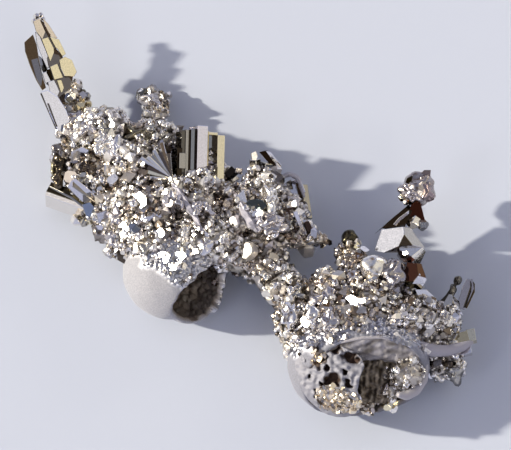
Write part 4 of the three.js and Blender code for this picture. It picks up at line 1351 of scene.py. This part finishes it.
def random_turns(count):
    """Uniform random rotations, from random unit quaternions."""
    q = draw.normal(size=(count, 4))
    w, x, y, z = (q / np.linalg.norm(q, axis=1)[:, None]).T
    return np.array([
        [1 - 2 * (y * y + z * z), 2 * (x * y - z * w), 2 * (x * z + y * w)],
        [2 * (x * y + z * w), 1 - 2 * (x * x + z * z), 2 * (y * z - x * w)],
        [2 * (x * z - y * w), 2 * (y * z + x * w), 1 - 2 * (x * x + y * y)],
    ]).transpose(2, 0, 1)


print("triangles in each form:", [len(triangles) for _, triangles in TEMPLATES])

# %% [markdown]
# ## Where grains sit
#
# Grains grow on whatever metal is free. Points scattered over every ball would also fill the
# hidden inside of the heap. So random points on a ball are kept only where no other ball covers
# them, and they lie evenly per square millimetre.


# %% Places for grains
FLOOR_GAP = 0.2  # mm: nothing that could be seen grows below this height
CRUSTED = [lump for name, lump in LUMPS.items() if name not in SMOOTH_LUMPS]
DROPLETS = LEFT_DROPLET["bodies"] + RIGHT_DROPLET["bodies"]


def on_balls(balls, density, keep):
    """Random points on the balls' surfaces, about `density` per square mm, where keep(points)
    holds and no other ball covers them. Gives the points and the outward directions there."""
    points, outward = [], []
    for number, (at, radii) in enumerate(balls):
        area = 4 * math.pi * (np.prod(radii) ** (2 / 3))
        ways = draw.normal(size=(int(area * density), 3))
        ways /= np.linalg.norm(ways, axis=1)[:, None]
        here = np.array(at) + ways * radii
        free = (here[:, 2] > FLOOR_GAP) & keep(here)
        for other, (far, size) in enumerate(balls):
            if other != number:
                free &= ~inside(here, far, size, -0.1)
        normals = ways / radii
        points.append(here[free])
        outward.append((normals / np.linalg.norm(normals, axis=1)[:, None])[free])
    return np.vstack(points), np.vstack(outward)


def outside_droplets(points):
    """True outside both droplets and their mouths."""
    free = np.ones(len(points), bool)
    for droplet in (LEFT_DROPLET, RIGHT_DROPLET):
        free &= ~inside(points, *droplet["mouth"], -0.1)
        for body in droplet["bodies"]:
            free &= ~inside(points, *body, -0.08)
    return free


def on_coat(points):
    """True on the droplets' crusted upper sides, outside their mouths and the lumps."""
    free = np.where(points[:, 0] < 0.3, left_coat(points), right_coat(points)) > 0.6
    for at, radii in CRUSTED:
        free &= ~inside(points, at, radii, -0.05)
    return free & ~inside(points, *LEFT_DROPLET["mouth"]) & ~inside(points, *RIGHT_DROPLET["mouth"])


print("balls that carry grains:", len(CRUSTED), "in the crust,", len(DROPLETS), "in the droplets")

# %% [markdown]
# ## Hollows and gleams
#
# The crust isn't evenly bright. In the hollows between the masses grains are sunk and painted
# dark, a painted shade, and where many faces happen to catch the sun a patch gleams, its grains
# also painted paler, a painted highlight. Lamps and cut holes could do that at a high price; two
# short lists of places, which shift and turn the grains and set how pale they are painted, do it
# too.

# %% Hollows and gleams
# Hollows sink the grains and paint them darker and browner: a painted shade.
HOLLOWS = (  # right, up and reach of each, in mm
    (-4.0, 1.8, 0.26), (-3.65, 1.75, 0.18), (-3.45, 1.4, 0.18), (-3.0, 2.5, 0.32),
    (-2.6, 2.65, 0.2),
    (-1.65, 1.9, 0.3), (-3.0, 0.55, 0.36), (-2.55, 1.2, 0.24), (-0.85, 0.9, 0.36),
    (-0.2, 0.05, 0.26),
    (0.9, 0.6, 0.2), (1.05, 0.0, 0.36), (1.5, -1.4, 0.38), (2.5, -0.6, 0.25), (0.55, -1.8, 0.24),
    (3.35, -1.15, 0.22), (3.9, -1.4, 0.26), (4.1, -2.35, 0.28), (2.35, -1.95, 0.26),
    (1.35, -2.2, 0.2),
    (1.5, -3.0, 0.22), (-2.0, 0.05, 0.16), (-1.4, 0.25, 0.16), (0.4, -0.3, 0.3),
    (-0.75, -0.85, 0.3), (-0.4, -0.8, 0.28), (-2.05, 2.0, 0.2), (0.15, -1.2, 0.2),
    (1.65, -1.62, 0.3), (2.7, -1.17, 0.22), (2.4, -0.92, 0.2), (2.52, -2.17, 0.24),
    (3.07, -1.97, 0.2),
    (1.2, -1.45, 0.22), (2.05, -2.0, 0.18), (3.6, -1.6, 0.2), (2.2, -1.45, 0.16),
    (3.3, -2.25, 0.18),
    (-3.9, 1.95, 0.2),
)
# Gleams turn grains to the sun and also paint them paler: a painted highlight.
GLEAMS = (  # the same, where many faces catch the sun
    (-3.6, 2.36, 0.4), (-3.5, 2.8, 0.34), (-4.0, 2.65, 0.34), (-3.2, 2.15, 0.28), (-2.8, 1.0, 0.26),
    (-2.7, 1.65, 0.22), (-2.65, -0.17, 0.45), (-2.0, -0.62, 0.5), (-1.25, -0.25, 0.4),
    (-2.3, 0.9, 0.3),
    (0.52, 1.0, 0.3), (1.1, -2.75, 0.3), (4.45, -2.45, 0.26), (4.65, -2.2, 0.28), (5.0, -3.05, 0.3),
    (3.9, -3.45, 0.3), (-3.1, 0.3, 0.34), (-1.9, 1.2, 0.24), (-0.6, 0.4, 0.26), (-4.35, 2.9, 0.3),
    (-1.6, -0.5, 0.42), (-0.5, -0.6, 0.16), (-1.4, -0.75, 0.3), (-2.3, -0.45, 0.3),
    (-0.3, 0.3, 0.2),
    (1.03, -1.02, 0.1), (1.06, -1.6, 0.12), (1.32, -1.62, 0.1), (1.98, -1.44, 0.14),
    (2.62, -1.14, 0.1),
    (3.0, -1.46, 0.1), (3.15, -1.52, 0.12), (3.42, -1.62, 0.1), (3.25, -1.85, 0.12),
    (1.62, -2.15, 0.12),
    (2.05, -2.1, 0.1), (2.65, -2.12, 0.1), (2.88, -2.2, 0.1), (2.4, -2.4, 0.1), (2.6, -2.38, 0.1),
    (2.22, -2.48, 0.1), (0.1, -1.55, 0.16), (-0.1, -1.0, 0.14), (0.75, -1.9, 0.14),
    (4.2, -2.2, 0.2),
    (4.5, -2.05, 0.18), (4.0, -1.95, 0.16), (-0.2, -0.35, 0.2), (0.2, 0.6, 0.2), (1.0, 1.2, 0.2),
    (-0.8, -0.3, 0.34), (-0.95, 0.1, 0.3), (-0.35, -0.45, 0.24), (-1.7, -0.1, 0.3),
    (-1.3, 0.3, 0.3), (-2.2, 0.2, 0.26), (-3.3, 0.75, 0.24), (4.3, -1.9, 0.14), (4.9, -2.0, 0.14),
    (4.5, -2.9, 0.2), (4.75, -2.6, 0.2),
)
print("hollows and gleams:", len(HOLLOWS), len(GLEAMS))

# %% [markdown]
# ## Making grains
#
# Each grain takes a tone, a size and a turn. In a gleam many turn so that one face shows the sun
# to the camera and are painted paler, a painted highlight; in a hollow they sink and are painted
# darker, a painted shade; and behind a flake they are left out. All are placed at once as whole
# arrays, because a loop over a hundred thousand grains would take minutes.


# %% Beside flakes and in the light
FLAKE_MARGIN = 0.05  # mm behind a flake where a grain would still poke through it
PATCH_WANDER, PATCH_WAVE = 0.1, 0.3  # mm by which waves of that length bend a patch's edge
AIM_SCATTER = 0.1


def hiding(points, margin=FLAKE_MARGIN):
    """True for points in front of a flake. A place is within an outline where a line to its
    right crosses the edges an odd number of times. The tiny term keeps level edges finite."""
    places, near = shows(points)
    x, y = places[:, :1], places[:, 1:]
    hides = np.zeros(len(points), bool)
    for outline, centre, middle, lean in FLAKES:
        (x0, y0), (x1, y1) = outline.T, np.roll(outline, -1, axis=0).T
        cut = x0 + (x1 - x0) * (y - y0) / (y1 - y0 + 1e-9)
        within = (((y0 > y) != (y1 > y)) & (x < cut)).sum(1) % 2 == 1
        hides |= within & (near > middle + (places - centre) @ lean - margin)
    return hides


def nearby(points, places):
    """1 in the inner half of a place as the camera sees it, then 1.6 - 1.3 * distance in
    reaches, so 0 a little beyond its reach."""
    wander = np.stack([waves(points, PATCH_WAVE, 12, seed) for seed in (31, 32)], -1)
    shown = shows(points)[0] + PATCH_WANDER * wander
    places = np.array(places)
    far = np.linalg.norm(shown[:, None] - places[None, :, :2], axis=2) / places[:, 2]
    return np.clip(1.6 - 1.3 * far, 0, 1).max(1)


def half_way(points):
    """The direction in which a face shows the sun to the camera, with some scatter."""
    scatter = draw.normal(size=points.shape) * AIM_SCATTER
    aim = unit(unit(SUN_DIRECTION) + TOWARDS_CAMERA) + scatter
    return aim / np.linalg.norm(aim, axis=1)[:, None]


def aimed(turns, chosen, aims):
    """Turns the chosen crystals further so that their first axis points along the aims."""
    first = aims[chosen]
    second = np.cross(first, turns[chosen][:, :, 1])
    second /= np.linalg.norm(second, axis=1)[:, None]
    turns[chosen] = np.stack([first, second, np.cross(first, second)], -1)
    return turns


print("flakes kept clear so far:", len(FLAKES))


# %% Many grains in one mesh
SQUASH = 0.35  # a grain's sides differ from its size by up to this share
LOWEST = 0.002  # mm above the floor


def grains(name, at, sizes, tones, gleam, gloss, smooth):
    """One piece of many small crystals: each template's corners are turned, stretched and
    moved to its places at once, as whole arrays. gleam is the share that catches the sun, and
    gloss runs from 0 for a mirror to 1 for a satin grain."""
    kinds = draw.integers(0, len(TEMPLATES), len(at))
    turns = aimed(random_turns(len(at)), draw.uniform(size=len(at)) < gleam, half_way(at))
    stretch = draw.uniform(1 - SQUASH, 1 + SQUASH, (len(at), 3)) * sizes[:, None]
    vertices, faces, colours, rough, total = [], [], [], [], 0
    for kind, (corners, triangles) in enumerate(TEMPLATES):
        chosen = np.flatnonzero(kinds == kind)
        local = corners[None] * stretch[chosen, None, :]
        placed = np.einsum("nij,nkj->nki", turns[chosen], local) + at[chosen, None, :]
        offsets = total + np.arange(len(chosen)) * len(corners)
        vertices.append(placed.reshape(-1, 3))
        faces.append((triangles[None] + offsets[:, None, None]).reshape(-1, 3))
        colours.append(np.repeat(tones[chosen], len(triangles), axis=0))
        rough.append(np.repeat(gloss[chosen], len(triangles)))
        total += placed.shape[0] * placed.shape[1]
    vertices, faces, colours = np.vstack(vertices), np.vstack(faces), np.vstack(colours)
    vertices[:, 2] = np.maximum(vertices[:, 2], LOWEST)
    mesh = bpy.data.meshes.new(name)
    mesh.vertices.add(len(vertices))
    mesh.vertices.foreach_set("co", vertices.ravel())
    mesh.loops.add(faces.size)
    mesh.loops.foreach_set("vertex_index", faces.ravel().astype(np.int32))
    mesh.polygons.add(len(faces))
    mesh.polygons.foreach_set("loop_start", np.arange(0, faces.size, 3, dtype=np.int32))
    mesh.update(calc_edges=True)
    mesh.validate()
    stored(mesh, CRYSTAL_TONE, np.c_[colours, np.ones(len(colours))])
    stored(mesh, CRYSTAL_GLOSS, np.concatenate(rough))
    finish_piece(mesh, name, fine_grains, smooth=smooth)


print("grains differ from their size by up to", SQUASH)


# %% Tones and places of grains
GRAIN_TONES = np.array([linear(c) for c in (
    "fbf6f0", "efeae8", "f2ece2", "c2bcb8", "ccc6be", "9a948e", "7e7268", "5e554e")])
GRAIN_SHARES = np.array([0.4, 0.18, 0.13, 0.13, 0.04, 0.05, 0.03, 0.04])
# Painted shade and light: a grain's tone is scaled from the sunk share, darker and browner, up by
# the raised share as lift grows.
SUNK_PAINTED_SHADE, RAISED_PAINTED_LIGHT = np.array([0.5, 0.44, 0.4]), np.array([0.5, 0.56, 0.6])
PATCH, REGION = 0.45, 1.0  # mm across a patch of raised grains, and across a region of shade
EVEN, BY_PATCH_PAINTED_SHADE, BY_REGION, BY_HOLLOW_PAINTED_SHADE, BY_GLEAM_PAINTED_HIGHLIGHT = 0.92, 0.35, 0.3, 1.15, 0.5  # shares of paleness
PATCH_RISE, HOLLOW_SINK, GLEAM_RISE, UNEVEN = 0.06, 0.09, 0.03, (-0.04, 0.05)  # mm


def grain_tones(points, lift):
    """A random tone from the palette, times 0.5 + 0.5 * lift: where lift is low, in the hollows,
    the tone is painted dark and brown, a painted shade.
    """
    picked = GRAIN_TONES[draw.choice(len(GRAIN_TONES), len(points), p=GRAIN_SHARES)]
    return picked * (SUNK_PAINTED_SHADE + RAISED_PAINTED_LIGHT * np.clip(lift, 0, 1)[:, None])


def right_shade(points):
    """The crust darkens between x = 1.2 and 1.6 and stays so, but its end beyond 4 is paler."""
    x = points[:, 0]
    return np.where(x > 4.0, 0.14, -0.22 * np.clip((x - 1.2) / 0.4, 0, 1))


def grain_piece(name, at, outward, low, high, smooth=False, tint=(1, 1, 1), sheen=(0.2, 0.55)):
    """Grains at the points, sizes low to high. Slow waves and the hollows set how far each grain
    stands out and how pale it is: paler where the patch waves raise it and darker in the hollows,
    both painted shade. The gleams set how many turn to the sun and paint them paler, a painted
    highlight, and how satin they are there (sheen). The tint multiplies every tone."""
    free = ~hiding(at)
    at, outward = at[free], outward[free]
    hollow, gleam = nearby(at, HOLLOWS), nearby(at, GLEAMS)
    rise = waves(at, PATCH, 30, 11)
    sizes = low + (high - low) * draw.uniform(size=len(at)) ** 2
    # lift is partly painted light: paler where the patch waves raise a grain, darker in hollows
    # (painted shade), paler in gleams (painted highlight); the region waves are random tone, and
    # right_shade darkens the crust right of x = 1.2.
    lift = EVEN + BY_PATCH_PAINTED_SHADE * rise + BY_REGION * waves(at, REGION, 30, 13)
    lift = lift - BY_HOLLOW_PAINTED_SHADE * hollow + BY_GLEAM_PAINTED_HIGHLIGHT * gleam + right_shade(at)
    shift = rise * PATCH_RISE - HOLLOW_SINK * hollow + GLEAM_RISE * gleam
    shift = shift + draw.uniform(*UNEVEN, len(at))
    gloss = 0.5 * draw.uniform(size=len(at)) ** 1.4
    gloss = np.maximum(gloss, gleam * draw.uniform(*sheen, len(at)))
    tones = grain_tones(at, lift) * tint
    grains(name, at + outward * shift[:, None], sizes, tones, 0.9 * gleam, gloss, smooth)


print("grain tones:", len(GRAIN_TONES))

# %% [markdown]
# ## Grains on the crust
#
# Small sharp grains, rounded ones and a few large crystals lie over each other, as they do where
# new crystals keep starting on old ones. One size everywhere would look like sand. The droplets
# carry only small grains, and more satin ones, because growth had just begun there.

# %% Grains
for name, density, low, high, smooth in (
    # grains per square mm, smallest and largest in mm
    ("grains_small", 62, 0.07, 0.14, False),
    ("grains_round", 46, 0.1, 0.2, True),
    ("grains_large", 6, 0.17, 0.3, False),
):
    grain_piece(name, *on_balls(CRUSTED, density, outside_droplets), low, high, smooth)
grain_piece("grains_on_droplets", *on_balls(DROPLETS, 70, on_coat), 0.05, 0.12, sheen=(0.5, 1.0))

# %% [markdown]
# ## Small heaps
#
# Heaps of grains stand beside the spire, at the knob, in the spike right of the centre and at
# the foot of the right mouth. Modelling them one by one would take long and look too tidy. They
# are the crust again, only smaller, so the same two steps make them: dark bodies, then grains.

# %% Small masses
SMALL_MASSES = (  # centre and radii of each, in mm
    (seen(-4.52, 3.52, 1.06), (0.17, 0.24, 0.13)), (seen(-4.3, 3.26, 1.06), (0.2, 0.28, 0.14)),
    (seen(-4.14, 3.0, 1.06), (0.22, 0.24, 0.16)), (seen(-4.5, 3.14, 1.1), (0.18, 0.24, 0.12)),
    (seen(-4.42, 2.86, 1.14), (0.2, 0.2, 0.14)), (seen(-4.36, 3.74, 1.0), (0.12, 0.16, 0.1)),
    (seen(-2.7, 3.5, 0.26), (0.17, 0.2, 0.16)), (seen(-2.46, 3.6, 0.28), (0.18, 0.16, 0.14)),
    (seen(-2.24, 3.36, 0.32), (0.16, 0.24, 0.16)), (seen(-2.22, 3.02, 0.4), (0.18, 0.22, 0.18)),
    (seen(-2.44, 2.96, 0.5), (0.18, 0.2, 0.16)),
    (seen(1.46, 0.0, 0.92), (0.26, 0.16, 0.15)), (seen(1.72, -0.08, 0.9), (0.17, 0.11, 0.1)),
    (seen(1.92, -0.14, 0.88), (0.1, 0.06, 0.06)),
    (seen(2.78, -4.12, 0.95), (0.16, 0.16, 0.14)), (seen(3.0, -4.28, 0.8), (0.12, 0.16, 0.12)),
    (seen(3.2, -4.0, 0.95), (0.14, 0.12, 0.12)),
)
round_piece("small_masses", [ball(at, np.array(radii) * 0.85, 16, 10)
                             for at, radii in SMALL_MASSES], sponge)
heap_at, heap_out = on_balls(SMALL_MASSES, 90, lambda points: points[:, 2] > FLOOR_GAP)
grain_piece("heap_grains", heap_at, heap_out, 0.06, 0.16, tint=(0.98, 0.94, 0.88))

# %% [markdown]
# ## Nodules
#
# Between the grains sit smooth grey lumps that never grew faces. They could be painted grains,
# but their round highlights would be missing. They give the crust its larger shapes and break
# the even glitter, so each is a ball of its own, roughened by waves.


# %% Nodules
def nodules_may_sit(points):
    """Outside the droplets, clear of every flake and off the floor."""
    return outside_droplets(points) & ~hiding(points, 0.2) & (points[:, 2] > 0.35)


nodule_at, nodule_out = on_balls(CRUSTED, 1.5, nodules_may_sit)
nodule_size = draw.uniform(0.11, 0.24, len(nodule_at))  # mm
round_piece("nodules", [
    ball(at + way * 0.03, size * draw.uniform(0.7, 1.3, 3), 16, 10, 0.07, 0.25,
         (LILAC, GREY, "cfc8c6", "9c948f")[draw.integers(4)], 7)
    for at, way, size in zip(nodule_at, nodule_out, nodule_size)
], soft_faces)

# %% [markdown]
# ## Inside the right droplet
#
# A pitted sheet of metal has frozen across the left of the mouth. Above it the smooth inner wall
# shows, streaked along the lip, and deep inside leaves stand on edge. A plane with a displacement
# texture could make it, but that needs heavy modifiers. So each sheet is a grid of points laid
# over the droplet's front, and its pits and waves are formulas of the place.


# %% Making a sheet
PIT_WANDER, PIT_WAVE = 0.045, 0.22  # mm by which waves of that length bend a pit's edge
SHEET_WAVE = 0.16  # mm, length of the bumps on a sheet


def nearness(places, at, radii):
    """How near the ball's front is at each (right, up) place, or its middle where it misses: the
    nearer root of |(place + near * towards camera - at) / radii| = 1."""
    off = (places @ VIEW[:2] - at) / radii
    way = VIEW[2] / np.array(radii)
    a, b, c = way @ way, off @ way, (off**2).sum(-1) - 1
    return (-b + np.sqrt(np.maximum(b**2 - a * c, 0))) / a


def in_pits(places, pits):
    """1 inside a pit, 0 outside, with a steep wall between. A pit is (right, up, radii). Waves
    make its edge uneven."""
    pits = np.array(pits)
    flat = np.pad(places.reshape(-1, 2), ((0, 0), (0, 1)))
    wander = [waves(flat, PIT_WAVE, 16, seed).reshape(places.shape[:-1]) for seed in (51, 52)]
    places = places + PIT_WANDER * np.stack(wander, -1)
    far = np.linalg.norm((places[..., None, :] - pits[:, :2]) / pits[:, 2:], axis=-1)
    return np.clip((1.15 - far) / 0.3, 0, 1).max(-1)


def slab(rows, across, along, thick, pits, relief):
    """A closed sheet over the front of the right droplet. Each row is (points, drop): a line of
    (right, up) points, drawn that far behind the droplet's front. Between rows and points it is
    interpolated; pits sink it by half its thickness, and slow waves roughen it."""
    grid = np.array([[(right, up, drop) for right, up in points] for points, drop in rows])
    for count in (across, along):
        at = np.linspace(0, len(grid) - 1, count)
        low = np.minimum(at.astype(int), len(grid) - 2)
        part = (at - low)[:, None, None]
        grid = (grid[low] * (1 - part) + grid[low + 1] * part).transpose(1, 0, 2)
    places = grid[..., :2]
    near = nearness(places, *RIGHT_DROPLET["bodies"][0]) - grid[..., 2]
    rough = relief * waves(grid.reshape(-1, 3), SHEET_WAVE, 24, 42).reshape(near.shape)
    front = near + rough - thick * 0.5 * in_pits(places, pits)
    sheet = np.concatenate([
        np.concatenate([places, front[..., None]], -1),
        np.concatenate([places, near[..., None] - thick], -1)[:, ::-1],
    ], axis=1)
    return sheet @ VIEW


print("pits wander by", PIT_WANDER, "mm")

# %% Rows of the sheets
WEB_ROWS = (  # a line of (right, up) points, and its drop, in mm
    ([(1.15, -2.71), (1.48, -2.59), (1.85, -2.61), (2.23, -2.69), (2.48, -2.79), (2.67, -2.92)],
     0.05),
    ([(1.07, -3.01), (1.43, -2.99), (1.77, -3.01), (2.12, -3.04), (2.48, -3.06), (2.77, -3.14)],
     0.02),
    ([(1.10, -3.34), (1.43, -3.34), (1.77, -3.36), (2.10, -3.36), (2.42, -3.39), (2.65, -3.44)],
     0.02),
    ([(1.20, -3.67), (1.50, -3.69), (1.82, -3.71), (2.12, -3.74), (2.40, -3.74), (2.60, -3.74)],
     0.02),
    ([(1.40, -3.99), (1.65, -4.04), (1.93, -4.09), (2.20, -4.09), (2.45, -4.06), (2.67, -4.04)],
     0.02),
    ([(1.73, -4.29), (1.90, -4.37), (2.10, -4.42), (2.30, -4.42), (2.48, -4.37), (2.65, -4.29)],
     0.02),
)
WEB_PITS = (  # right, up and radii of each, in mm
    (2.06, -2.78, 0.15, 0.11), (2.42, -2.94, 0.2, 0.13), (1.98, -3.5, 0.2, 0.15),
    (1.8, -3.6, 0.11, 0.1), (2.36, -3.6, 0.1, 0.1), (1.62, -3.84, 0.08, 0.1),
    (2.1, -3.95, 0.13, 0.1), (1.85, -4.1, 0.09, 0.08), (2.4, -4.05, 0.1, 0.1),
    (1.6, -2.98, 0.26, 0.2), (2.28, -3.3, 0.05, 0.05), (1.42, -3.42, 0.06, 0.05),
    (1.85, -3.2, 0.06, 0.05),
)
WALL_ROWS = (
    ([(2.17, -2.64), (2.52, -2.55), (2.90, -2.50), (3.27, -2.51), (3.65, -2.61), (4.00, -2.78),
      (4.28, -2.99), (4.45, -3.24)], 0.04),
    ([(2.35, -2.84), (2.62, -2.74), (2.92, -2.69), (3.25, -2.71), (3.58, -2.79), (3.88, -2.94),
      (4.12, -3.14), (4.25, -3.34)], 0.22),
    ([(2.50, -3.01), (2.73, -2.99), (2.98, -2.98), (3.23, -2.99), (3.50, -3.04), (3.77, -3.14),
      (3.98, -3.29), (4.08, -3.46)], 0.42),
    ([(2.65, -3.17), (2.83, -3.14), (3.02, -3.11), (3.23, -3.13), (3.45, -3.19), (3.67, -3.29),
      (3.83, -3.42), (3.92, -3.56)], 0.7),
)
FLOOR_ROWS = (
    ([(2.48, -3.06), (2.73, -3.04), (3.02, -3.01), (3.33, -3.04), (3.58, -3.11), (3.77, -3.24)],
     0.5),
    ([(2.50, -3.34), (2.75, -3.34), (3.05, -3.34), (3.35, -3.34), (3.62, -3.36), (3.83, -3.44)],
     0.62),
    ([(2.52, -3.64), (2.77, -3.67), (3.08, -3.69), (3.38, -3.69), (3.62, -3.67), (3.83, -3.64)],
     0.66),
    ([(2.60, -3.99), (2.83, -4.04), (3.10, -4.09), (3.38, -4.09), (3.60, -4.04), (3.77, -3.92)],
     0.5),
)
NO_PITS = ((9, 9, 1, 1),)  # one pit, far from every sheet
print("pits in the web:", len(WEB_PITS))

# %% [markdown]
# ## Tones of the sheets
#
# The web is pale where it froze smooth and painted dark brown in its pits, a painted shade. The
# wall is streaked along the lip, the leaves upwards. Painted maps would need unwrapped sheets;
# these streaks are waves again, stretched in one direction.


# %% Web
def web_tone(middles):
    """Pale skin, painted dark brown in the pits: a painted shade."""
    dark = in_pits(middles @ VIEW[:2].T, WEB_PITS)[:, None]
    return linear("a8a7b0") * (1 - dark) + linear("5a4a44") * dark


def streaked(squeeze, size, seed, mean, contrast, pale, dark):
    """A tone between pale and dark: the pale share is mean + contrast * waves, and the waves are
    longer where the squeeze (to the right, up, towards the camera) is below 1."""

    def tone(middles):
        streak = waves(middles @ VIEW.T * squeeze, size, 24, seed)[:, None]
        share = np.clip(mean + contrast * streak, 0, 1)
        return linear(pale) * share + linear(dark) * (1 - share)

    return tone


wall_tone = streaked((0.25, 1.0, 1.0), 0.16, 43, 0.6, 0.4, "c4c0c4", "7e7876")
leaf_tone = streaked((1.0, 0.3, 0.6), 0.14, 44, 0.45, 0.45, "c4b8a8", "5c5246")
round_piece("web", [
    carried(slab(WEB_ROWS, 70, 80, 0.4, WEB_PITS, 0.022), web_tone),
    carried(slab(WALL_ROWS, 30, 110, 0.12, NO_PITS, 0.01), wall_tone),
    carried(slab(FLOOR_ROWS, 50, 70, 0.1, NO_PITS, 0.05), leaf_tone),
], satin)

# %% [markdown]
# ## Lip and ridge
#
# The mouth's upper edge froze as a rounded lip, a pale ridge runs from it to the right end, and
# a thin dark stalk stands there. The shell's own edge is thin and even; a strand laid along it
# gives the lip its changing width.


# %% Lip
def on_droplet(places, drop=0.0):
    """The points of the right droplet's front at (right, up) places, that far behind it."""
    places = np.array(places)
    near = nearness(places, *RIGHT_DROPLET["bodies"][0]) - drop
    return np.c_[places, near] @ VIEW


LIP = [(1.98, -2.64), (2.33, -2.55), (2.73, -2.48), (3.15, -2.46), (3.52, -2.54)]
LIP_WIDTHS = (0.03, 0.05, 0.05, 0.06, 0.03)
RIDGE = [(3.33, -2.49), (3.73, -2.59), (4.12, -2.74), (4.53, -2.86), (4.92, -2.86), (5.28, -2.76),
         (5.53, -2.64)]
RIDGE_WIDTHS = (0.03, 0.1, 0.15, 0.16, 0.14, 0.12, 0.05)
STALK = ((4.72, -1.75, 0.85), (4.92, -1.5, 0.92), (5.04, -1.3, 0.95), (5.18, -1.1, 0.98))
round_piece("lip", [
    strand(on_droplet(LIP, 0.06), LIP_WIDTHS, "c9c5ca", 60, 12),
    strand([seen(*place, 1.62 - 0.11 * n) for n, place in enumerate(RIDGE)],
           RIDGE_WIDTHS, "c4c0c8", 40, 12),
    strand([seen(*place) for place in STALK], (0.1, 0.06, 0.05, 0.04), SMOKE, 20, 10),
], satin)

# %% [markdown]
# ## Grains in the mouth
#
# A granular mass fills the right of the mouth behind a smooth lobe, and golden grains cover the
# foot of the pitted sheet. The mass is made as the crust was. The foot is no ball, so its grains
# are placed by random spots in an ellipse, laid on the droplet's front.

# %% Mouth grains
MOUTH_MASS = (
    (seen(3.88, -3.45, 1.32), (0.45, 0.36, 0.32)), (seen(3.6, -3.85, 1.1), (0.3, 0.2, 0.22)),
)
MOUTH_LOBE = [(4.30, -3.14), (4.25, -3.49), (4.05, -3.76), (3.80, -3.89), (3.58, -3.86)]
LOBE_WIDTHS = (0.05, 0.11, 0.13, 0.12, 0.06)
FOOT_SPOTS, CAVITY_SPOTS = 560, 60
round_piece("mouth_lobe", [
    strand(on_droplet(MOUTH_LOBE, 0.1), LOBE_WIDTHS, "c9c5ca", 30, 14)
], satin)
round_piece("mouth_mass", [ball(at, np.array(radii) * 0.9) for at, radii in MOUTH_MASS], sponge)
mass_at, mass_out = on_balls(MOUTH_MASS, 70, lambda points: points[:, 2] > 0.8)
grain_piece("mass_grains", mass_at, mass_out, 0.07, 0.17, True)
spots = draw.uniform(-1, 1, (FOOT_SPOTS, 2))
spots = spots[np.linalg.norm(spots, axis=1) < 1]
foot = spots * (0.54, 0.31) + (2.12, -3.98) + 0.1 * spots[:, :1] * (0, -1)
cavity = spots[:CAVITY_SPOTS] * (0.24, 0.18) + (1.6, -2.98)
foot_at = on_droplet(np.vstack([foot, cavity]), 0.08)
foot_out = np.broadcast_to(TOWARDS_CAMERA, foot_at.shape)
grain_piece("foot_grains", foot_at, foot_out, 0.05, 0.14, tint=(0.94, 0.88, 0.78))

# %% [markdown]
# ## Crystals in the mouth
#
# Plates stand on edge in the mouth and along its lower rim, and a few cut cubes hang over it.
# Only their upper faces can be seen, so flakes and small cubes are enough.

# %% Mouth crystals
crystal_piece("mouth_crystals", [
    flake([(2.8, -3.15), (2.98, -3.2), (3.02, -3.75), (2.85, -3.6)], 1.0, SMOKE, RIGHT, 0.3),
    flake([(3.02, -3.3), (3.12, -3.35), (3.1, -3.8), (3.02, -3.78)], 1.05, GREY, FRONT, 0.3),
    flake([(3.15, -3.25), (3.3, -3.3), (3.3, -3.8), (3.14, -3.75)], 1.0, OLIVE, RIGHT, 0.3),
    flake([(3.35, -3.2), (3.48, -3.3), (3.45, -3.75), (3.34, -3.7)], 0.95, SMOKE, LEFT, 0.3),
    flake([(2.6, -3.98), (2.72, -3.94), (2.8, -4.12), (2.7, -4.2)], 1.2, PALE, FRONT, 0.12),
    flake([(3.15, -3.88), (3.3, -3.9), (3.25, -4.05), (3.12, -4.1)], 1.0, LILAC, FRONT),
    cut_cube(seen(3.42, -4.2, 0.75), 0.3, 0.25, (0.3, 0.5, 0.2), CREAM),
    cut_cube(seen(3.58, -4.12, 0.78), 0.26, 0.22, (0.7, 0.2, 0.6), STRAW),
    cut_cube(seen(3.55, -4.3, 0.65), 0.24, 0.2, (0.1, 0.8, 0.4), PALE),
])
